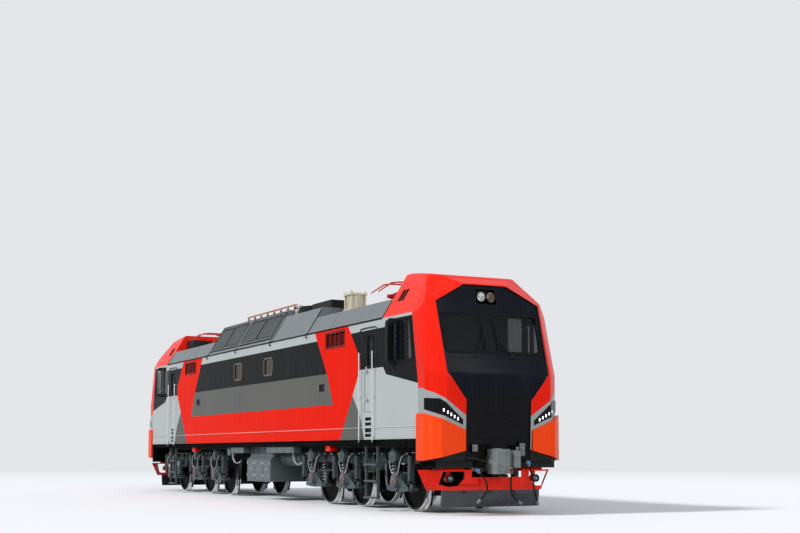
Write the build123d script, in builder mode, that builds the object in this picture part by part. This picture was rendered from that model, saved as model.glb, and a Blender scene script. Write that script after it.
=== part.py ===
from build123d import *
import math
import os

os.makedirs("parts", exist_ok=True)

# Frame: X runs along the locomotive with the front cab at +X, Z is up,
# and the wheel flanges stand on Z = 0. Everything is in millimetres.

# Overall sizes
flange_height = 30.0
body_half_width = 1550.0
coupler_face_x = 10850.0
coupler_height = flange_height + 1060.0
sill_z = flange_height + 1520.0
eaves_z = flange_height + 4130.0
deck_z = flange_height + 4560.0
roof_top_z = flange_height + 5120.0
wall = 50.0
skin = 40.0
joint_gap = 8.0
beyond = 2000.0

# Lengths along the body, from the middle to one end
hood_end_x = 3950.0
door_rear_x = 7310.0
door_front_x = 7800.0
cab_rear_x = 7950.0
cab_roof_rear_x = 8235.0
seam_top_x = 9630.0
seam_low_x = 9900.0
seam_low_z = flange_height + 2630.0

# Running gear
wheel_radius = 625.0
wheel_width = 140.0
back_to_back = 1440.0
axle_radius = 100.0
journal_radius = 75.0
axle_z = wheel_radius + flange_height
axle_places = (8400.0, 5700.0, 3800.0)
bogie_middle_x = (axle_places[0] + axle_places[-1]) / 2
side_frame_y = 1140.0
side_frame_width = 170.0
side_frame_low_z = flange_height + 1010.0
side_frame_top_z = flange_height + 1230.0
axlebox_half_length = 190.0
axlebox_inner_y = 1030.0
axlebox_outer_y = 1290.0
axle_cap_y = 1385.0
spring_spread = 400.0
spring_radius = 95.0
spring_seat_z = flange_height + 500.0
floor_low_z = flange_height + 1390.0

# Ends
bumper_half_width = body_half_width + 50.0
bumper_gap_half = 790.0
bumper_front_x = 10530.0
plough_front_x = 10420.0
plough_top_z = flange_height + 890.0
plough_low_z = flange_height + 480.0

ends = (("front", 1), ("rear", -1))
sides = (("left", 1), ("right", -1))


def above_rail(height):
    return flange_height + height


def write(part, name):
    part.label = name
    export_step(part, f"parts/{name}.step")


def at_end(part, end):
    """The piece at the front end, or its mirror image at the rear end."""
    return part if end > 0 else mirror(part, about=Plane.YZ)


def both_ends(part):
    return Compound(children=list(part.solids()) + list(mirror(part, about=Plane.YZ).solids()))


def both_sides(part):
    return Compound(children=list(part.solids()) + list(mirror(part, about=Plane.XZ).solids()))


# Cab outline seen from the side: x, height above the rail, from the roof to the skirt
cab_profile = (
    (cab_rear_x, 5128.0), (8400.0, 5120.0), (9000.0, 5050.0), (9500.0, 4970.0),
    (9930.0, 4750.0), (10510.0, 2860.0), (10535.0, 2740.0), (10450.0, 1000.0),
)
shoulder_half_width = body_half_width - 310.0
corner_depth = 310.0
slope_top_y = body_half_width - 600.0
brow_half_width = slope_top_y - 440.0


def cab_planes():
    """Outward planes that bound the cab: a point and a normal each."""
    planes = []
    for (x0, z0), (x1, z1) in zip(cab_profile, cab_profile[1:]):
        planes.append(((x0, 0, above_rail(z0)), (z0 - z1, 0, x1 - x0)))
    slope_rise = roof_top_z - eaves_z
    slope_run = body_half_width - slope_top_y
    corner_run = body_half_width - shoulder_half_width
    windscreen_lean = (10510.0 - 9930.0) / (4750.0 - 2860.0)
    for y in (1, -1):
        planes.append(((0, y * body_half_width, 0), (0, y, 0)))
        planes.append(((0, y * body_half_width, eaves_z), (0, y * slope_rise, slope_run)))
        planes.append(((10510.0, y * shoulder_half_width, above_rail(2860.0)),
                       (corner_run, y * corner_depth, corner_run * windscreen_lean)))
        planes.append(((10510.0, y * shoulder_half_width, above_rail(2860.0)), (corner_run, y * corner_depth, 0)))
        planes.append(((9930.0, y * brow_half_width, above_rail(4750.0)), (0.290, y * 0.150, 0.345)))
    return planes


def cab_volume(inset, rear_x, low_z):
    """The cab's closed outer form, with every face moved in by inset."""
    with BuildPart() as volume:
        with BuildSketch(Plane.YZ.offset(rear_x)):
            with Locations((0, (low_z + 6000.0) / 2)):
                Rectangle(2 * body_half_width + 200, 6000.0 - low_z)
        extrude(amount=11000.0 - rear_x)
        for point, normal in cab_planes():
            face = Plane(origin=point, z_dir=normal).offset(-inset)
            split(bisect_by=face, keep=Keep.BOTTOM)
    return volume.part


cab_outer = cab_volume(0, cab_rear_x, sill_z)
cab_inner = cab_volume(wall, cab_rear_x + wall, sill_z - 10)
nose_outer = cab_volume(0, seam_top_x - 400, above_rail(1060))
nose_inner = cab_volume(wall, seam_top_x - 500, above_rail(1000))

with BuildPart() as seam_cut:
    with BuildSketch(Plane.XZ.offset(-beyond)):
        with BuildLine():
            Polyline((seam_top_x, 5600), (seam_top_x, eaves_z), (seam_low_x, seam_low_z),
                     (seam_low_x, 500), (11500, 500), (11500, 5600), close=True)
        make_face()
    extrude(amount=2 * beyond)
ahead_of_seam = seam_cut.part

with BuildPart() as roof_cut:
    with BuildSketch(Plane.XZ.offset(-beyond)):
        with BuildLine():
            Polyline((cab_roof_rear_x, eaves_z), (cab_roof_rear_x, 5600), (seam_top_x, 5600),
                     (seam_top_x, eaves_z), close=True)
        make_face()
    extrude(amount=2 * beyond)
above_eaves = roof_cut.part

with BuildPart() as wall_cut:
    with BuildSketch(Plane.XZ.offset(-beyond)):
        with BuildLine():
            Polyline((cab_rear_x, sill_z), (cab_rear_x, eaves_z), (seam_top_x, eaves_z),
                     (seam_low_x, seam_low_z), (seam_low_x, sill_z), close=True)
        make_face()
    extrude(amount=2 * beyond)
below_eaves = wall_cut.part

# Front view of the black panel: half widths and heights above the rail
panel_half_width = shoulder_half_width - 15.0
panel_low_half = 765.0
panel_outline = ((brow_half_width, 4730), (panel_half_width, 4340), (panel_half_width, 4150),
                 (panel_half_width - 25, 2860), (panel_low_half, 2300), (panel_low_half, 1000))
windscreen_half = shoulder_half_width - 130.0
panel_recess = 35.0


def panel_prism(extra):
    with BuildPart() as prism:
        with BuildSketch(Plane.YZ.offset(9000)) as outline:
            with BuildLine():
                right = [(y, above_rail(z)) for y, z in panel_outline]
                left = [(-y, z) for y, z in reversed(right)]
                Polyline(*right, *left, close=True)
            make_face()
            if extra:
                offset(amount=extra, kind=Kind.INTERSECTION)
        extrude(amount=2000)
    return prism.part


def side_window(grow, depth_from, depth_to):
    with BuildPart() as cutter:
        with BuildSketch(Plane.XZ.offset(-depth_to)) as outline:
            with BuildLine():
                Polyline((8570 - grow, above_rail(3160) - grow), (8570 - grow, above_rail(4020) + grow),
                         (9520 + grow, above_rail(4020) + grow), (9660 + grow, above_rail(3160) - grow),
                         close=True)
            make_face()
            fillet(outline.vertices(), 70 + grow)
        extrude(amount=depth_to - depth_from)
    return cutter.part


def front_window(grow):
    with BuildPart() as cutter:
        with BuildSketch(Plane.YZ.offset(9500)) as outline:
            with BuildLine():
                side = windscreen_half + grow
                low = above_rail(3320) - grow
                top = above_rail(4090) + grow
                Polyline((-side, low), (-side, top), (side, top), (side, low), close=True)
            make_face()
            fillet(outline.vertices(), 90 + grow)
        extrude(amount=1500)
    return cutter.part


def headlight_niche(grow):
    with BuildPart() as cutter:
        with BuildSketch(Plane.YZ.offset(9500)) as outline:
            with Locations((0, above_rail(4480))):
                RectangleRounded(500 + 2 * grow, 340 + 2 * grow, 50 + grow)
        extrude(amount=1500)
    return cutter.part


window_right = side_window(0, -body_half_width - 150, -body_half_width + 150)
window_left = side_window(0, body_half_width - 150, body_half_width + 150)
windscreen_hole = front_window(0)
niche_hole = headlight_niche(0)
panel_region = panel_prism(0)

# Opening in the nose for the coupler
coupler_room = 450.0
with BuildPart() as coupler_cut:
    with BuildSketch(Plane.YZ.offset(9600)):
        with Locations((0, above_rail(1190))):
            Rectangle(2 * coupler_room, 400)
    extrude(amount=1500)
coupler_hole = coupler_cut.part

# Cab side walls and bulkhead, behind the seam and below the eaves
with BuildPart() as cab_shell:
    add(cab_outer)
    add(cab_inner, mode=Mode.SUBTRACT)
    add(below_eaves, mode=Mode.INTERSECT)
    add(window_right, mode=Mode.SUBTRACT)
    add(window_left, mode=Mode.SUBTRACT)
    with BuildSketch(Plane.YZ.offset(cab_rear_x)):
        with Locations((0, (sill_z + 60 + above_rail(3600)) / 2)):
            Rectangle(700, above_rail(3600) - sill_z - 60)
    extrude(amount=wall, mode=Mode.SUBTRACT)

# Sloped side of the roof as a plane: x along the body, y up the slope
slope_angle = math.atan2(roof_top_z - eaves_z, body_half_width - slope_top_y)
slope_plane = Plane(origin=(0, -body_half_width, eaves_z), x_dir=(1, 0, 0),
                    z_dir=(0, -math.sin(slope_angle), math.cos(slope_angle)))
louvre_x = 8680.0
louvre_up = 540.0
louvre_size = 310.0

# Sloped cab roof with a square louvre opening at each side, closed behind by its own bulkhead
with BuildPart() as rear_plate:
    with BuildSketch(Plane.XZ.offset(-beyond)):
        with Locations((cab_roof_rear_x + skin / 2, (eaves_z + 5600) / 2)):
            Rectangle(skin, 5600 - eaves_z)
    extrude(amount=2 * beyond)
    add(cab_outer, mode=Mode.INTERSECT)
with BuildPart() as louvre_cut:
    with BuildSketch(slope_plane.offset(-100)):
        with Locations((louvre_x, louvre_up)):
            Rectangle(louvre_size, louvre_size)
    extrude(amount=200)
    mirror(about=Plane.XZ)
with BuildPart() as cab_roof:
    add(cab_outer)
    add(cab_inner, mode=Mode.SUBTRACT)
    add(above_eaves, mode=Mode.INTERSECT)
    add(rear_plate.part)
    add(louvre_cut.part, mode=Mode.SUBTRACT)

# Mask around the black panel, ahead of the seam
with BuildPart() as cab_mask:
    add(nose_outer)
    add(nose_inner, mode=Mode.SUBTRACT)
    add(ahead_of_seam, mode=Mode.INTERSECT)
    add(panel_region, mode=Mode.SUBTRACT)
    add(coupler_hole, mode=Mode.SUBTRACT)

# Black panel with the windscreen opening, the headlight niche and two jumper sockets
socket_y = 540.0
socket_rear_x = 10400.0
socket_depth = 100.0
panel_outer = cab_volume(panel_recess, seam_top_x - 500, above_rail(1060))
panel_inner = cab_volume(panel_recess + wall, seam_top_x - 600, above_rail(1000))
with BuildPart() as cab_panel:
    add(panel_outer)
    add(panel_inner, mode=Mode.SUBTRACT)
    add(ahead_of_seam, mode=Mode.INTERSECT)
    add(panel_region, mode=Mode.INTERSECT)
    add(windscreen_hole, mode=Mode.SUBTRACT)
    add(niche_hole, mode=Mode.SUBTRACT)
    add(coupler_hole, mode=Mode.SUBTRACT)
    with BuildSketch(Plane.YZ.offset(socket_rear_x)):
        with Locations((socket_y, above_rail(1300))):
            RectangleRounded(150, 330, 20)
        with Locations((-socket_y - 30, above_rail(1330))):
            RectangleRounded(120, 180, 20)
    extrude(amount=socket_depth)

# Windscreen pane, set back in its opening
glass_back = 18.0
glass_thick = 14.0
pane_outer = cab_volume(panel_recess + glass_back, seam_top_x - 500, above_rail(1060))
pane_inner = cab_volume(panel_recess + glass_back + glass_thick, seam_top_x - 600, above_rail(1000))
with BuildPart() as windscreen:
    add(pane_outer)
    add(pane_inner, mode=Mode.SUBTRACT)
    add(ahead_of_seam, mode=Mode.INTERSECT)
    add(windscreen_hole, mode=Mode.INTERSECT)

with BuildPart() as side_panes:
    add(side_window(0, -body_half_width + 12, -body_half_width + 24))
    add(ahead_of_seam, mode=Mode.SUBTRACT)
    mirror(about=Plane.XZ)

write(both_ends(cab_shell.part), "cab_walls")
write(both_ends(cab_roof.part), "cab_roofs")
write(both_ends(cab_mask.part), "cab_masks")
write(both_ends(cab_panel.part), "cab_panels")
cab_glass = Compound(children=list(windscreen.part.solids()) + list(side_panes.part.solids()))
write(both_ends(cab_glass), "cab_glass")

# Door hinges: barrels on the doors, pins and leaves on the walls
hinge_x = door_front_x - joint_gap
hinge_y = body_half_width - wall - 12
hinge_radius = 10.0
hinge_pin = 5.0
hinge_barrel = 90.0
pin_play = 0.3
swing_gap = 14.0
hinge_heights = tuple(above_rail(z) for z in (2340.0, 3020.0, 3700.0))

# Machine room side walls, from bulkhead to bulkhead, with their real openings
door_low_z = above_rail(2130)
door_top_z = above_rail(3930)
door_window_x = 7590.0
door_window_z = above_rail(3470)
# Toe steps pressed into the wall below the door: middle height and height of each
toe_steps = ((1975.0, 70.0), (1865.0, 70.0), (1730.0, 100.0), (1615.0, 70.0))
toe_step_x = 7520.0
toe_step_width = 360.0
toe_step_depth = 38.0
porthole_places = (-1165.0, 1240.0)
grille_places = (5665.0, -5665.0)
grille_width = 1110.0
grille_low_z = above_rail(3680)
grille_top_z = above_rail(4050)
vent_places = (4880.0, -4825.0)
door_middle_x = (door_rear_x + door_front_x) / 2
door_opening = door_front_x - door_rear_x

with BuildPart() as side_walls:
    with BuildSketch(Plane.XZ.offset(body_half_width - wall)):
        with Locations((0, (sill_z + eaves_z) / 2)):
            Rectangle(2 * cab_rear_x, eaves_z - sill_z)
        with Locations(*[(end * door_middle_x, (door_low_z + door_top_z) / 2) for _, end in ends]):
            Rectangle(door_opening, door_top_z - door_low_z, mode=Mode.SUBTRACT)
        with Locations(*[(x, above_rail(3500)) for x in porthole_places]):
            RectangleRounded(620, 440, 120, mode=Mode.SUBTRACT)
        with Locations(*[(x, (grille_low_z + grille_top_z) / 2) for x in grille_places]):
            Rectangle(grille_width, grille_top_z - grille_low_z, mode=Mode.SUBTRACT)
        with Locations(*[(x, above_rail(2775)) for x in vent_places]):
            Rectangle(280, 150, mode=Mode.SUBTRACT)
    extrude(amount=wall)
    with BuildSketch(Plane.XZ.offset(body_half_width - toe_step_depth)):
        for z, height in toe_steps:
            with Locations(*[(end * toe_step_x, above_rail(z)) for _, end in ends]):
                RectangleRounded(toe_step_width, height, 20)
    extrude(amount=toe_step_depth, mode=Mode.SUBTRACT)
    for _, end in ends:
        for z in hinge_heights:
            for low in (z - hinge_barrel / 2 - 20, z + hinge_barrel / 2 + 2):
                with BuildSketch(Plane.XY.offset(low)):
                    with Locations((end * (hinge_x + 35), -hinge_y - 2)):
                        Rectangle(70 + 2 * hinge_pin, 20)
                extrude(amount=18)
            with BuildSketch(Plane.XY.offset(z - hinge_barrel / 2 - 20)):
                with Locations((end * hinge_x, -hinge_y)):
                    Circle(hinge_pin)
            extrude(amount=hinge_barrel + 40)
write(both_sides(side_walls.part), "machine_room_walls")

# Louvred grilles and small vents that fill their wall openings
grille_columns = 4
louvre_pitch = 46.0
with BuildPart() as grilles:
    for x in grille_places:
        with BuildSketch(Plane.XZ.offset(body_half_width - wall)):
            with Locations((x, (grille_low_z + grille_top_z) / 2)):
                Rectangle(grille_width, grille_top_z - grille_low_z)
            column = (grille_width - 30 * (grille_columns + 1)) / grille_columns
            with Locations((x, (grille_low_z + grille_top_z) / 2)):
                with GridLocations(column + 30, 0, grille_columns, 1):
                    Rectangle(column, grille_top_z - grille_low_z - 60, mode=Mode.SUBTRACT)
        extrude(amount=wall)
        blades = int((grille_top_z - grille_low_z - 60) / louvre_pitch)
        for blade in range(blades):
            z = grille_low_z + 30 + louvre_pitch * (blade + 0.5)
            with BuildSketch(Plane.YZ.offset(x - grille_width / 2 + 15)):
                with BuildLine():
                    Polyline((-body_half_width + 4, z - 20), (-body_half_width + 8, z - 24),
                             (-body_half_width + 44, z + 12), (-body_half_width + 40, z + 16), close=True)
                make_face()
            extrude(amount=grille_width - 30)
with BuildPart() as vents:
    for x in vent_places:
        with BuildSketch(Plane.XZ.offset(body_half_width - wall)):
            with Locations((x, above_rail(2775))):
                Rectangle(280, 150)
            with Locations((x, above_rail(2775))):
                with GridLocations(0, 28, 1, 5):
                    Rectangle(240, 12, mode=Mode.SUBTRACT)
        extrude(amount=wall - 10)
with BuildPart() as roof_louvre:
    with BuildSketch(slope_plane.offset(-skin)):
        with Locations((louvre_x, louvre_up)):
            Rectangle(louvre_size, louvre_size)
            with GridLocations(louvre_size / 2 - 10, (louvre_size - 30) / 6, 2, 6):
                Rectangle(louvre_size / 2 - 30, 34, mode=Mode.SUBTRACT)
    extrude(amount=skin - 8)
side_grilles = Compound(children=list(grilles.part.solids()) + list(vents.part.solids())
                        + list(both_ends(roof_louvre.part).solids()))
write(both_sides(side_grilles), "side_grilles")

# Roof: section half widths and heights of each stretch along X
roof_slope = (roof_top_z - eaves_z) / (body_half_width - slope_top_y)
hatch_hood_end_x = 1400.0
hatch_hood_z = above_rail(5020)
low_hood_z = above_rail(4830)


def slope_y(z):
    """Half width of the sloped roof side at a height."""
    return body_half_width - (z - eaves_z) / roof_slope


def roof_shell(from_x, to_x, top_z):
    with BuildPart() as shell:
        for inset, mode in ((0, Mode.ADD), (skin, Mode.SUBTRACT)):
            side = slope_y(top_z) - inset * 0.6
            foot = body_half_width - inset * 1.2
            with BuildSketch(Plane.YZ.offset(from_x)):
                with BuildLine():
                    Polyline((-foot, eaves_z), (-side, top_z - inset), (side, top_z - inset),
                             (foot, eaves_z), close=True)
                make_face()
            extrude(amount=to_x - from_x, mode=mode)
    return shell.part


def roof_bulkhead(x, low_z, top_z, thick):
    with BuildPart() as plate:
        with BuildSketch(Plane.YZ.offset(x)):
            with BuildLine():
                Polyline((-slope_y(low_z), low_z), (-slope_y(top_z), top_z),
                         (slope_y(top_z), top_z), (slope_y(low_z), low_z), close=True)
            make_face()
        extrude(amount=thick)
    return plate.part


# Hatch openings in the sloped sides: middle along X and width
hatches = ((-2660.0, 2500.0), (-30.0, 2560.0))
hatch_low = 150.0
hatch_high = 960.0

hatch_hood = roof_shell(-hood_end_x, hatch_hood_end_x, hatch_hood_z)
low_hood = roof_shell(hatch_hood_end_x, hood_end_x, low_hood_z)
hood_step = roof_bulkhead(hatch_hood_end_x - skin, low_hood_z - skin, hatch_hood_z, skin)
hood_front = roof_bulkhead(hood_end_x - skin, eaves_z, low_hood_z, skin)
hood_rear = roof_bulkhead(-hood_end_x, eaves_z, hatch_hood_z, skin)
with BuildPart() as hood:
    add(hatch_hood)
    add(low_hood)
    add(hood_step)
    add(hood_front)
    add(hood_rear)
    for turn in (0, 180):
        plane = slope_plane.rotated((0, 0, 0)) if turn == 0 else Plane(
            origin=(0, body_half_width, eaves_z), x_dir=(-1, 0, 0),
            z_dir=(0, -slope_plane.z_dir.Y, slope_plane.z_dir.Z))
        flip = 1 if turn == 0 else -1
        with BuildSketch(plane.offset(-skin * 2)):
            for middle, width in hatches:
                with Locations((flip * middle, (hatch_low + hatch_high) / 2)):
                    Rectangle(width, hatch_high - hatch_low)
        extrude(amount=skin * 3, mode=Mode.SUBTRACT)
write(hood.part, "machine_room_roof")

# Hatch frames with a middle rib and bars across
hatch_frame = 50.0
bar_count = 9
with BuildPart() as hatch_grids:
    with BuildSketch(slope_plane.offset(-30)):
        for middle, width in hatches:
            with Locations((middle, (hatch_low + hatch_high) / 2)):
                Rectangle(width, hatch_high - hatch_low)
                height = hatch_high - hatch_low - 2 * hatch_frame
                half = (width - 3 * hatch_frame) / 2
                with GridLocations(half + hatch_frame, 0, 2, 1):
                    Rectangle(half, height, mode=Mode.SUBTRACT)
    extrude(amount=45)
    with BuildSketch(slope_plane.offset(-20)):
        for middle, width in hatches:
            pitch = (hatch_high - hatch_low - 2 * hatch_frame) / bar_count
            with Locations((middle, (hatch_low + hatch_high) / 2)):
                with GridLocations(0, pitch, 1, bar_count):
                    Rectangle(width - hatch_frame, 8)
    extrude(amount=8)
write(both_sides(hatch_grids.part), "roof_mesh_hatches")

# Low roof decks between the hood and the cabs
deck = roof_shell(hood_end_x, cab_roof_rear_x, deck_z)
write(both_ends(deck), "low_roof_decks")

# One plain block for the transformerless converters and chokes inside
with BuildPart() as equipment:
    with BuildSketch(Plane.XY.offset(sill_z)):
        Rectangle(12600, 1900)
    extrude(amount=2300)
write(equipment.part, "machine_room_equipment")

# Underframe: floor plate, sills, pivot beams and end boxes
headstock_front_x = 10365.0
headstock_low_z = above_rail(930)
headstock_half_width = body_half_width - 90.0
with BuildPart() as headstock:
    with BuildSketch(Plane.XZ.offset(-headstock_half_width)):
        with BuildLine():
            Polyline((9650, sill_z - 60), (9900, headstock_low_z), (headstock_front_x, headstock_low_z),
                     (headstock_front_x, sill_z), (9650, sill_z), close=True)
        make_face()
    extrude(amount=2 * headstock_half_width)
    add(cab_volume(wall + 5, 9500, above_rail(900)), mode=Mode.INTERSECT)
    with BuildSketch(Plane.YZ.offset(9700)):
        with Locations((0, coupler_height)):
            Rectangle(520, 420)
    extrude(amount=1000, mode=Mode.SUBTRACT)
with BuildPart() as underframe:
    with BuildSketch(Plane.XY.offset(sill_z - 60)):
        Rectangle(2 * seam_low_x, 2 * (body_half_width - wall) + 2 * wall)
    extrude(amount=60)
    with BuildSketch(Plane.YZ.offset(-seam_low_x)):
        for y in (1, -1):
            with Locations((y * (body_half_width - 90), (floor_low_z + sill_z - 60) / 2)):
                Rectangle(180, sill_z - 60 - floor_low_z)
    extrude(amount=2 * seam_low_x)
    with BuildSketch(Plane.XY.offset(floor_low_z)):
        with GridLocations(2 * bogie_middle_x, 0, 2, 1):
            Rectangle(500, 2 * body_half_width - 200)
    extrude(amount=sill_z - 60 - floor_low_z)
    for _, end in ends:
        add(at_end(headstock.part, end))
write(underframe.part, "underframe")

# Red jacking brackets under the sills
jacking_x = 5250.0
with BuildPart() as jacking:
    for y in (1, -1):
        with BuildSketch(Plane.XZ.offset(y * (body_half_width - 90) - 90)):
            with GridLocations(2 * jacking_x, 0, 2, 1):
                with Locations((0, above_rail(1330))):
                    Trapezoid(300, 120, 110, align=(Align.CENTER, Align.CENTER), rotation=180)
        extrude(amount=180)
write(jacking.part, "jacking_brackets")

# Grey box and duct hung under the middle
with BuildPart() as battery_box:
    with BuildSketch(Plane.YZ.offset(-750)):
        with BuildLine():
            wide = body_half_width - 150
            narrow = body_half_width - 250
            Polyline((-wide, above_rail(470)), (-wide, above_rail(1060)), (-narrow, above_rail(1150)),
                     (-narrow, sill_z - 60), (narrow, sill_z - 60), (narrow, above_rail(1150)),
                     (wide, above_rail(1060)), (wide, above_rail(470)), close=True)
        make_face()
    extrude(amount=1820)
with BuildPart() as duct:
    with BuildSketch(Plane.YZ.offset(-1800)):
        for y in (1, -1):
            with Locations((y * (body_half_width - 130), floor_low_z - 80)):
                Rectangle(200, 160)
    extrude(amount=4800)
    with BuildSketch(Plane.YZ.offset(-750)):
        Rectangle(4000, 4000)
    extrude(amount=1820, mode=Mode.SUBTRACT)
with BuildPart() as reservoirs:
    for y in (1, -1):
        with BuildSketch(Plane.YZ.offset(1300)):
            with Locations((y * 1000, above_rail(1100))):
                Circle(210)
        extrude(amount=1400)
        for x in (1600, 2400):
            with BuildSketch(Plane.YZ.offset(x - 30)):
                with Locations((y * 1000, (above_rail(1100) + sill_z - 60) / 2)):
                    Rectangle(300, sill_z - 60 - above_rail(1100))
            extrude(amount=60)
under_box = Compound(children=list(battery_box.part.solids()) + list(duct.part.solids())
                     + list(reservoirs.part.solids()))
write(under_box, "battery_box_and_ducts")

# Bumpers wrap the nose below the lamps: plan outline and front-view outline
with BuildPart() as bumper:
    with BuildSketch(Plane.XY.offset(above_rail(900))):
        for y in (1, -1):
            with BuildLine():
                Polyline((seam_low_x, y * bumper_half_width), (10260, y * bumper_half_width),
                         (bumper_front_x - 15, y * (bumper_half_width - 260)),
                         (bumper_front_x, y * bumper_gap_half), (10460, y * bumper_gap_half),
                         (10440, y * (bumper_half_width - 300)), (10220, y * (bumper_half_width - 65)),
                         (seam_low_x, y * (bumper_half_width - 65)), close=True)
            make_face()
    extrude(amount=1400)
    with BuildSketch(Plane.YZ.offset(9800)):
        for y in (1, -1):
            with BuildLine():
                Polyline((y * 700, above_rail(1300)), (y * 700, above_rail(1660)),
                         (y * (bumper_half_width - 260), above_rail(1925)),
                         (y * (bumper_half_width + 100), above_rail(2060)),
                         (y * (bumper_half_width + 100), above_rail(1055)), close=True)
            make_face()
    extrude(amount=800, mode=Mode.INTERSECT)
    add(nose_outer, mode=Mode.SUBTRACT)
    add(cab_outer, mode=Mode.SUBTRACT)
write(both_ends(bumper.part), "bumpers")


def plough_volume(inset, low_z, top_z):
    """Tapered plough form: each face moved in by inset."""
    with BuildPart() as volume:
        with BuildSketch(Plane.XY.offset(low_z)):
            with Locations((10200, 0)):
                Rectangle(600, 3400)
        extrude(amount=top_z - low_z)
        for y in (1, -1):
            split(bisect_by=Plane(origin=(9900, y * (body_half_width + 20), plough_top_z),
                                  z_dir=(320, y * 500, -240)).offset(-inset), keep=Keep.BOTTOM)
        split(bisect_by=Plane(origin=(plough_front_x, 0, plough_top_z),
                              z_dir=(1, 0, -0.1)).offset(-inset), keep=Keep.BOTTOM)
    return volume.part


plough_lamp_z = above_rail(710)
plough_outer = plough_volume(0, plough_low_z, plough_top_z)
plough_inner = plough_volume(30, plough_low_z + 30, plough_top_z + 10)
with BuildPart() as plough:
    add(plough_outer)
    add(plough_inner, mode=Mode.SUBTRACT)
    with BuildSketch(Plane.YZ.offset(10100)):
        for y in (1, -1):
            with BuildLine():
                Polyline((y * 1240, above_rail(600)), (y * 1240, above_rail(860)),
                         (y * 760, above_rail(860)), (y * 760, above_rail(720)),
                         (y * 900, above_rail(570)), (y * 1100, above_rail(550)), close=True)
            make_face()
        with Locations((0, above_rail(840))):
            Rectangle(1180, 200)
    extrude(amount=600, mode=Mode.SUBTRACT)
    with BuildSketch(Plane.XY.offset(plough_top_z - 30)) as shelf:
        for y in (1, -1):
            with Locations((10255, y * 930)):
                Rectangle(290, 560)
    extrude(amount=30)
    with BuildSketch(Plane.XY.offset(plough_top_z)):
        for y in (1, -1):
            with Locations((10170, y * 930)):
                Rectangle(120, 520)
    extrude(amount=headstock_low_z - plough_top_z)
    with BuildSketch(Plane.YZ.offset(10120)):
        with Locations((1010, plough_lamp_z), (-1010, plough_lamp_z)):
            Circle(75)
    extrude(amount=150)
    with BuildSketch(Plane.XY.offset(plough_lamp_z)):
        with Locations((10170, 1010), (10170, -1010)):
            Rectangle(60, 60)
    extrude(amount=plough_top_z - 20 - plough_lamp_z)
write(both_ends(plough.part), "ploughs")

# Track clearers below the ploughs
with BuildPart() as clearer:
    with BuildSketch(Plane.XZ.offset(-1150)):
        with BuildLine():
            Polyline((10060, above_rail(130)), (10120, above_rail(130)), (10180, above_rail(400)),
                     (10180, plough_low_z), (10140, plough_low_z), (10140, above_rail(410)), close=True)
        make_face()
    extrude(amount=2300)
write(both_ends(clearer.part), "track_clearers")

# Automatic coupler: mounting plate, head, tall guard tooth and low tooth seen from above, then the shank
tall_tooth = ((10450, -250), (10720, -285), (10830, -230), (coupler_face_x, -60), (10800, 70),
              (10660, 85), (10450, 60))
low_tooth = ((10500, 120), (10660, 130), (10700, 165), (10790, 175), (10790, 330), (10500, 340))
head_outline = ((10330, -90), (10430, -250), (10720, -285), (10830, -230), (coupler_face_x, -60), (10800, 70),
                (10660, 85), (10650, 125), (10700, 165), (10790, 175), (10790, 330), (10500, 340), (10330, 90))
head_forms = ((head_outline, -130, 250), (tall_tooth, -250, 500), (low_tooth, -100, 310))
with BuildPart() as coupler:
    with BuildSketch(Plane.YZ.offset(9700)):
        with Locations((0, coupler_height)):
            Rectangle(520, 420)
    extrude(amount=150)
    for outline, below_axis, tall in head_forms:
        with BuildSketch(Plane.XY.offset(coupler_height + below_axis)):
            with BuildLine():
                Polyline(*outline, close=True)
            make_face()
        extrude(amount=tall)
    with BuildSketch(Plane.YZ.offset(9800)):
        with Locations((0, coupler_height)):
            Rectangle(180, 220)
    extrude(amount=560)
write(both_ends(coupler.part), "couplers")

# Lamps: round lamp in the niche, and a black strip with five lenses at each side
niche_back_x = 9780.0
with BuildPart() as lamps:
    with BuildSketch(Plane.YZ.offset(niche_back_x)):
        with Locations((0, above_rail(4480))):
            RectangleRounded(560, 400, 70)
    extrude(amount=500)
    add(panel_inner, mode=Mode.INTERSECT)
    with BuildSketch(Plane.YZ.offset(niche_back_x + 25)):
        with Locations((0, above_rail(4480))):
            RectangleRounded(500, 340, 50)
    extrude(amount=500, mode=Mode.SUBTRACT)
    with BuildSketch(Plane.YZ.offset(niche_back_x + 25)):
        with Locations((-115, above_rail(4480)), (115, above_rail(4480))):
            Circle(95)
    extrude(amount=80)
strip_inner_y = panel_low_half + 75
strip_corner_y = shoulder_half_width + 90
strip_outer_y = body_half_width + 200
with BuildPart() as strips:
    with BuildSketch(Plane.YZ.offset(9900)):
        for y in (1, -1):
            with BuildLine():
                Polyline((y * strip_inner_y, above_rail(1800)), (y * strip_inner_y, above_rail(1900)),
                         (y * strip_corner_y, above_rail(2320)), (y * strip_outer_y, above_rail(2349)),
                         (y * strip_outer_y, above_rail(2185)), close=True)
            make_face()
    extrude(amount=900)
    add(cab_volume(-12, seam_low_x + 280, above_rail(1060)), mode=Mode.INTERSECT)
    add(nose_outer, mode=Mode.SUBTRACT)
write(both_ends(Compound(children=list(lamps.part.solids()) + list(strips.part.solids()))), "lamps")

# Tall rear-view mirrors beside the cab windows
with BuildPart() as mirrors:
    for y in (1, -1):
        with BuildSketch(Plane.XY.offset(above_rail(3150))):
            with Locations((8800, y * (body_half_width + 110))):
                RectangleRounded(110, 180, 30)
        extrude(amount=850)
        with BuildSketch(Plane.XY.offset(above_rail(3090))):
            with Locations((8800, y * (body_half_width + 110))):
                Circle(20)
        extrude(amount=980)
        with BuildSketch(Plane.XZ.offset(-y * (body_half_width + 65) - 65)):
            with Locations((8800, above_rail(3105)), (8800, above_rail(4055))):
                Rectangle(60, 30)
        extrude(amount=130)
write(both_ends(mirrors.part), "rear_view_mirrors")

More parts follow.
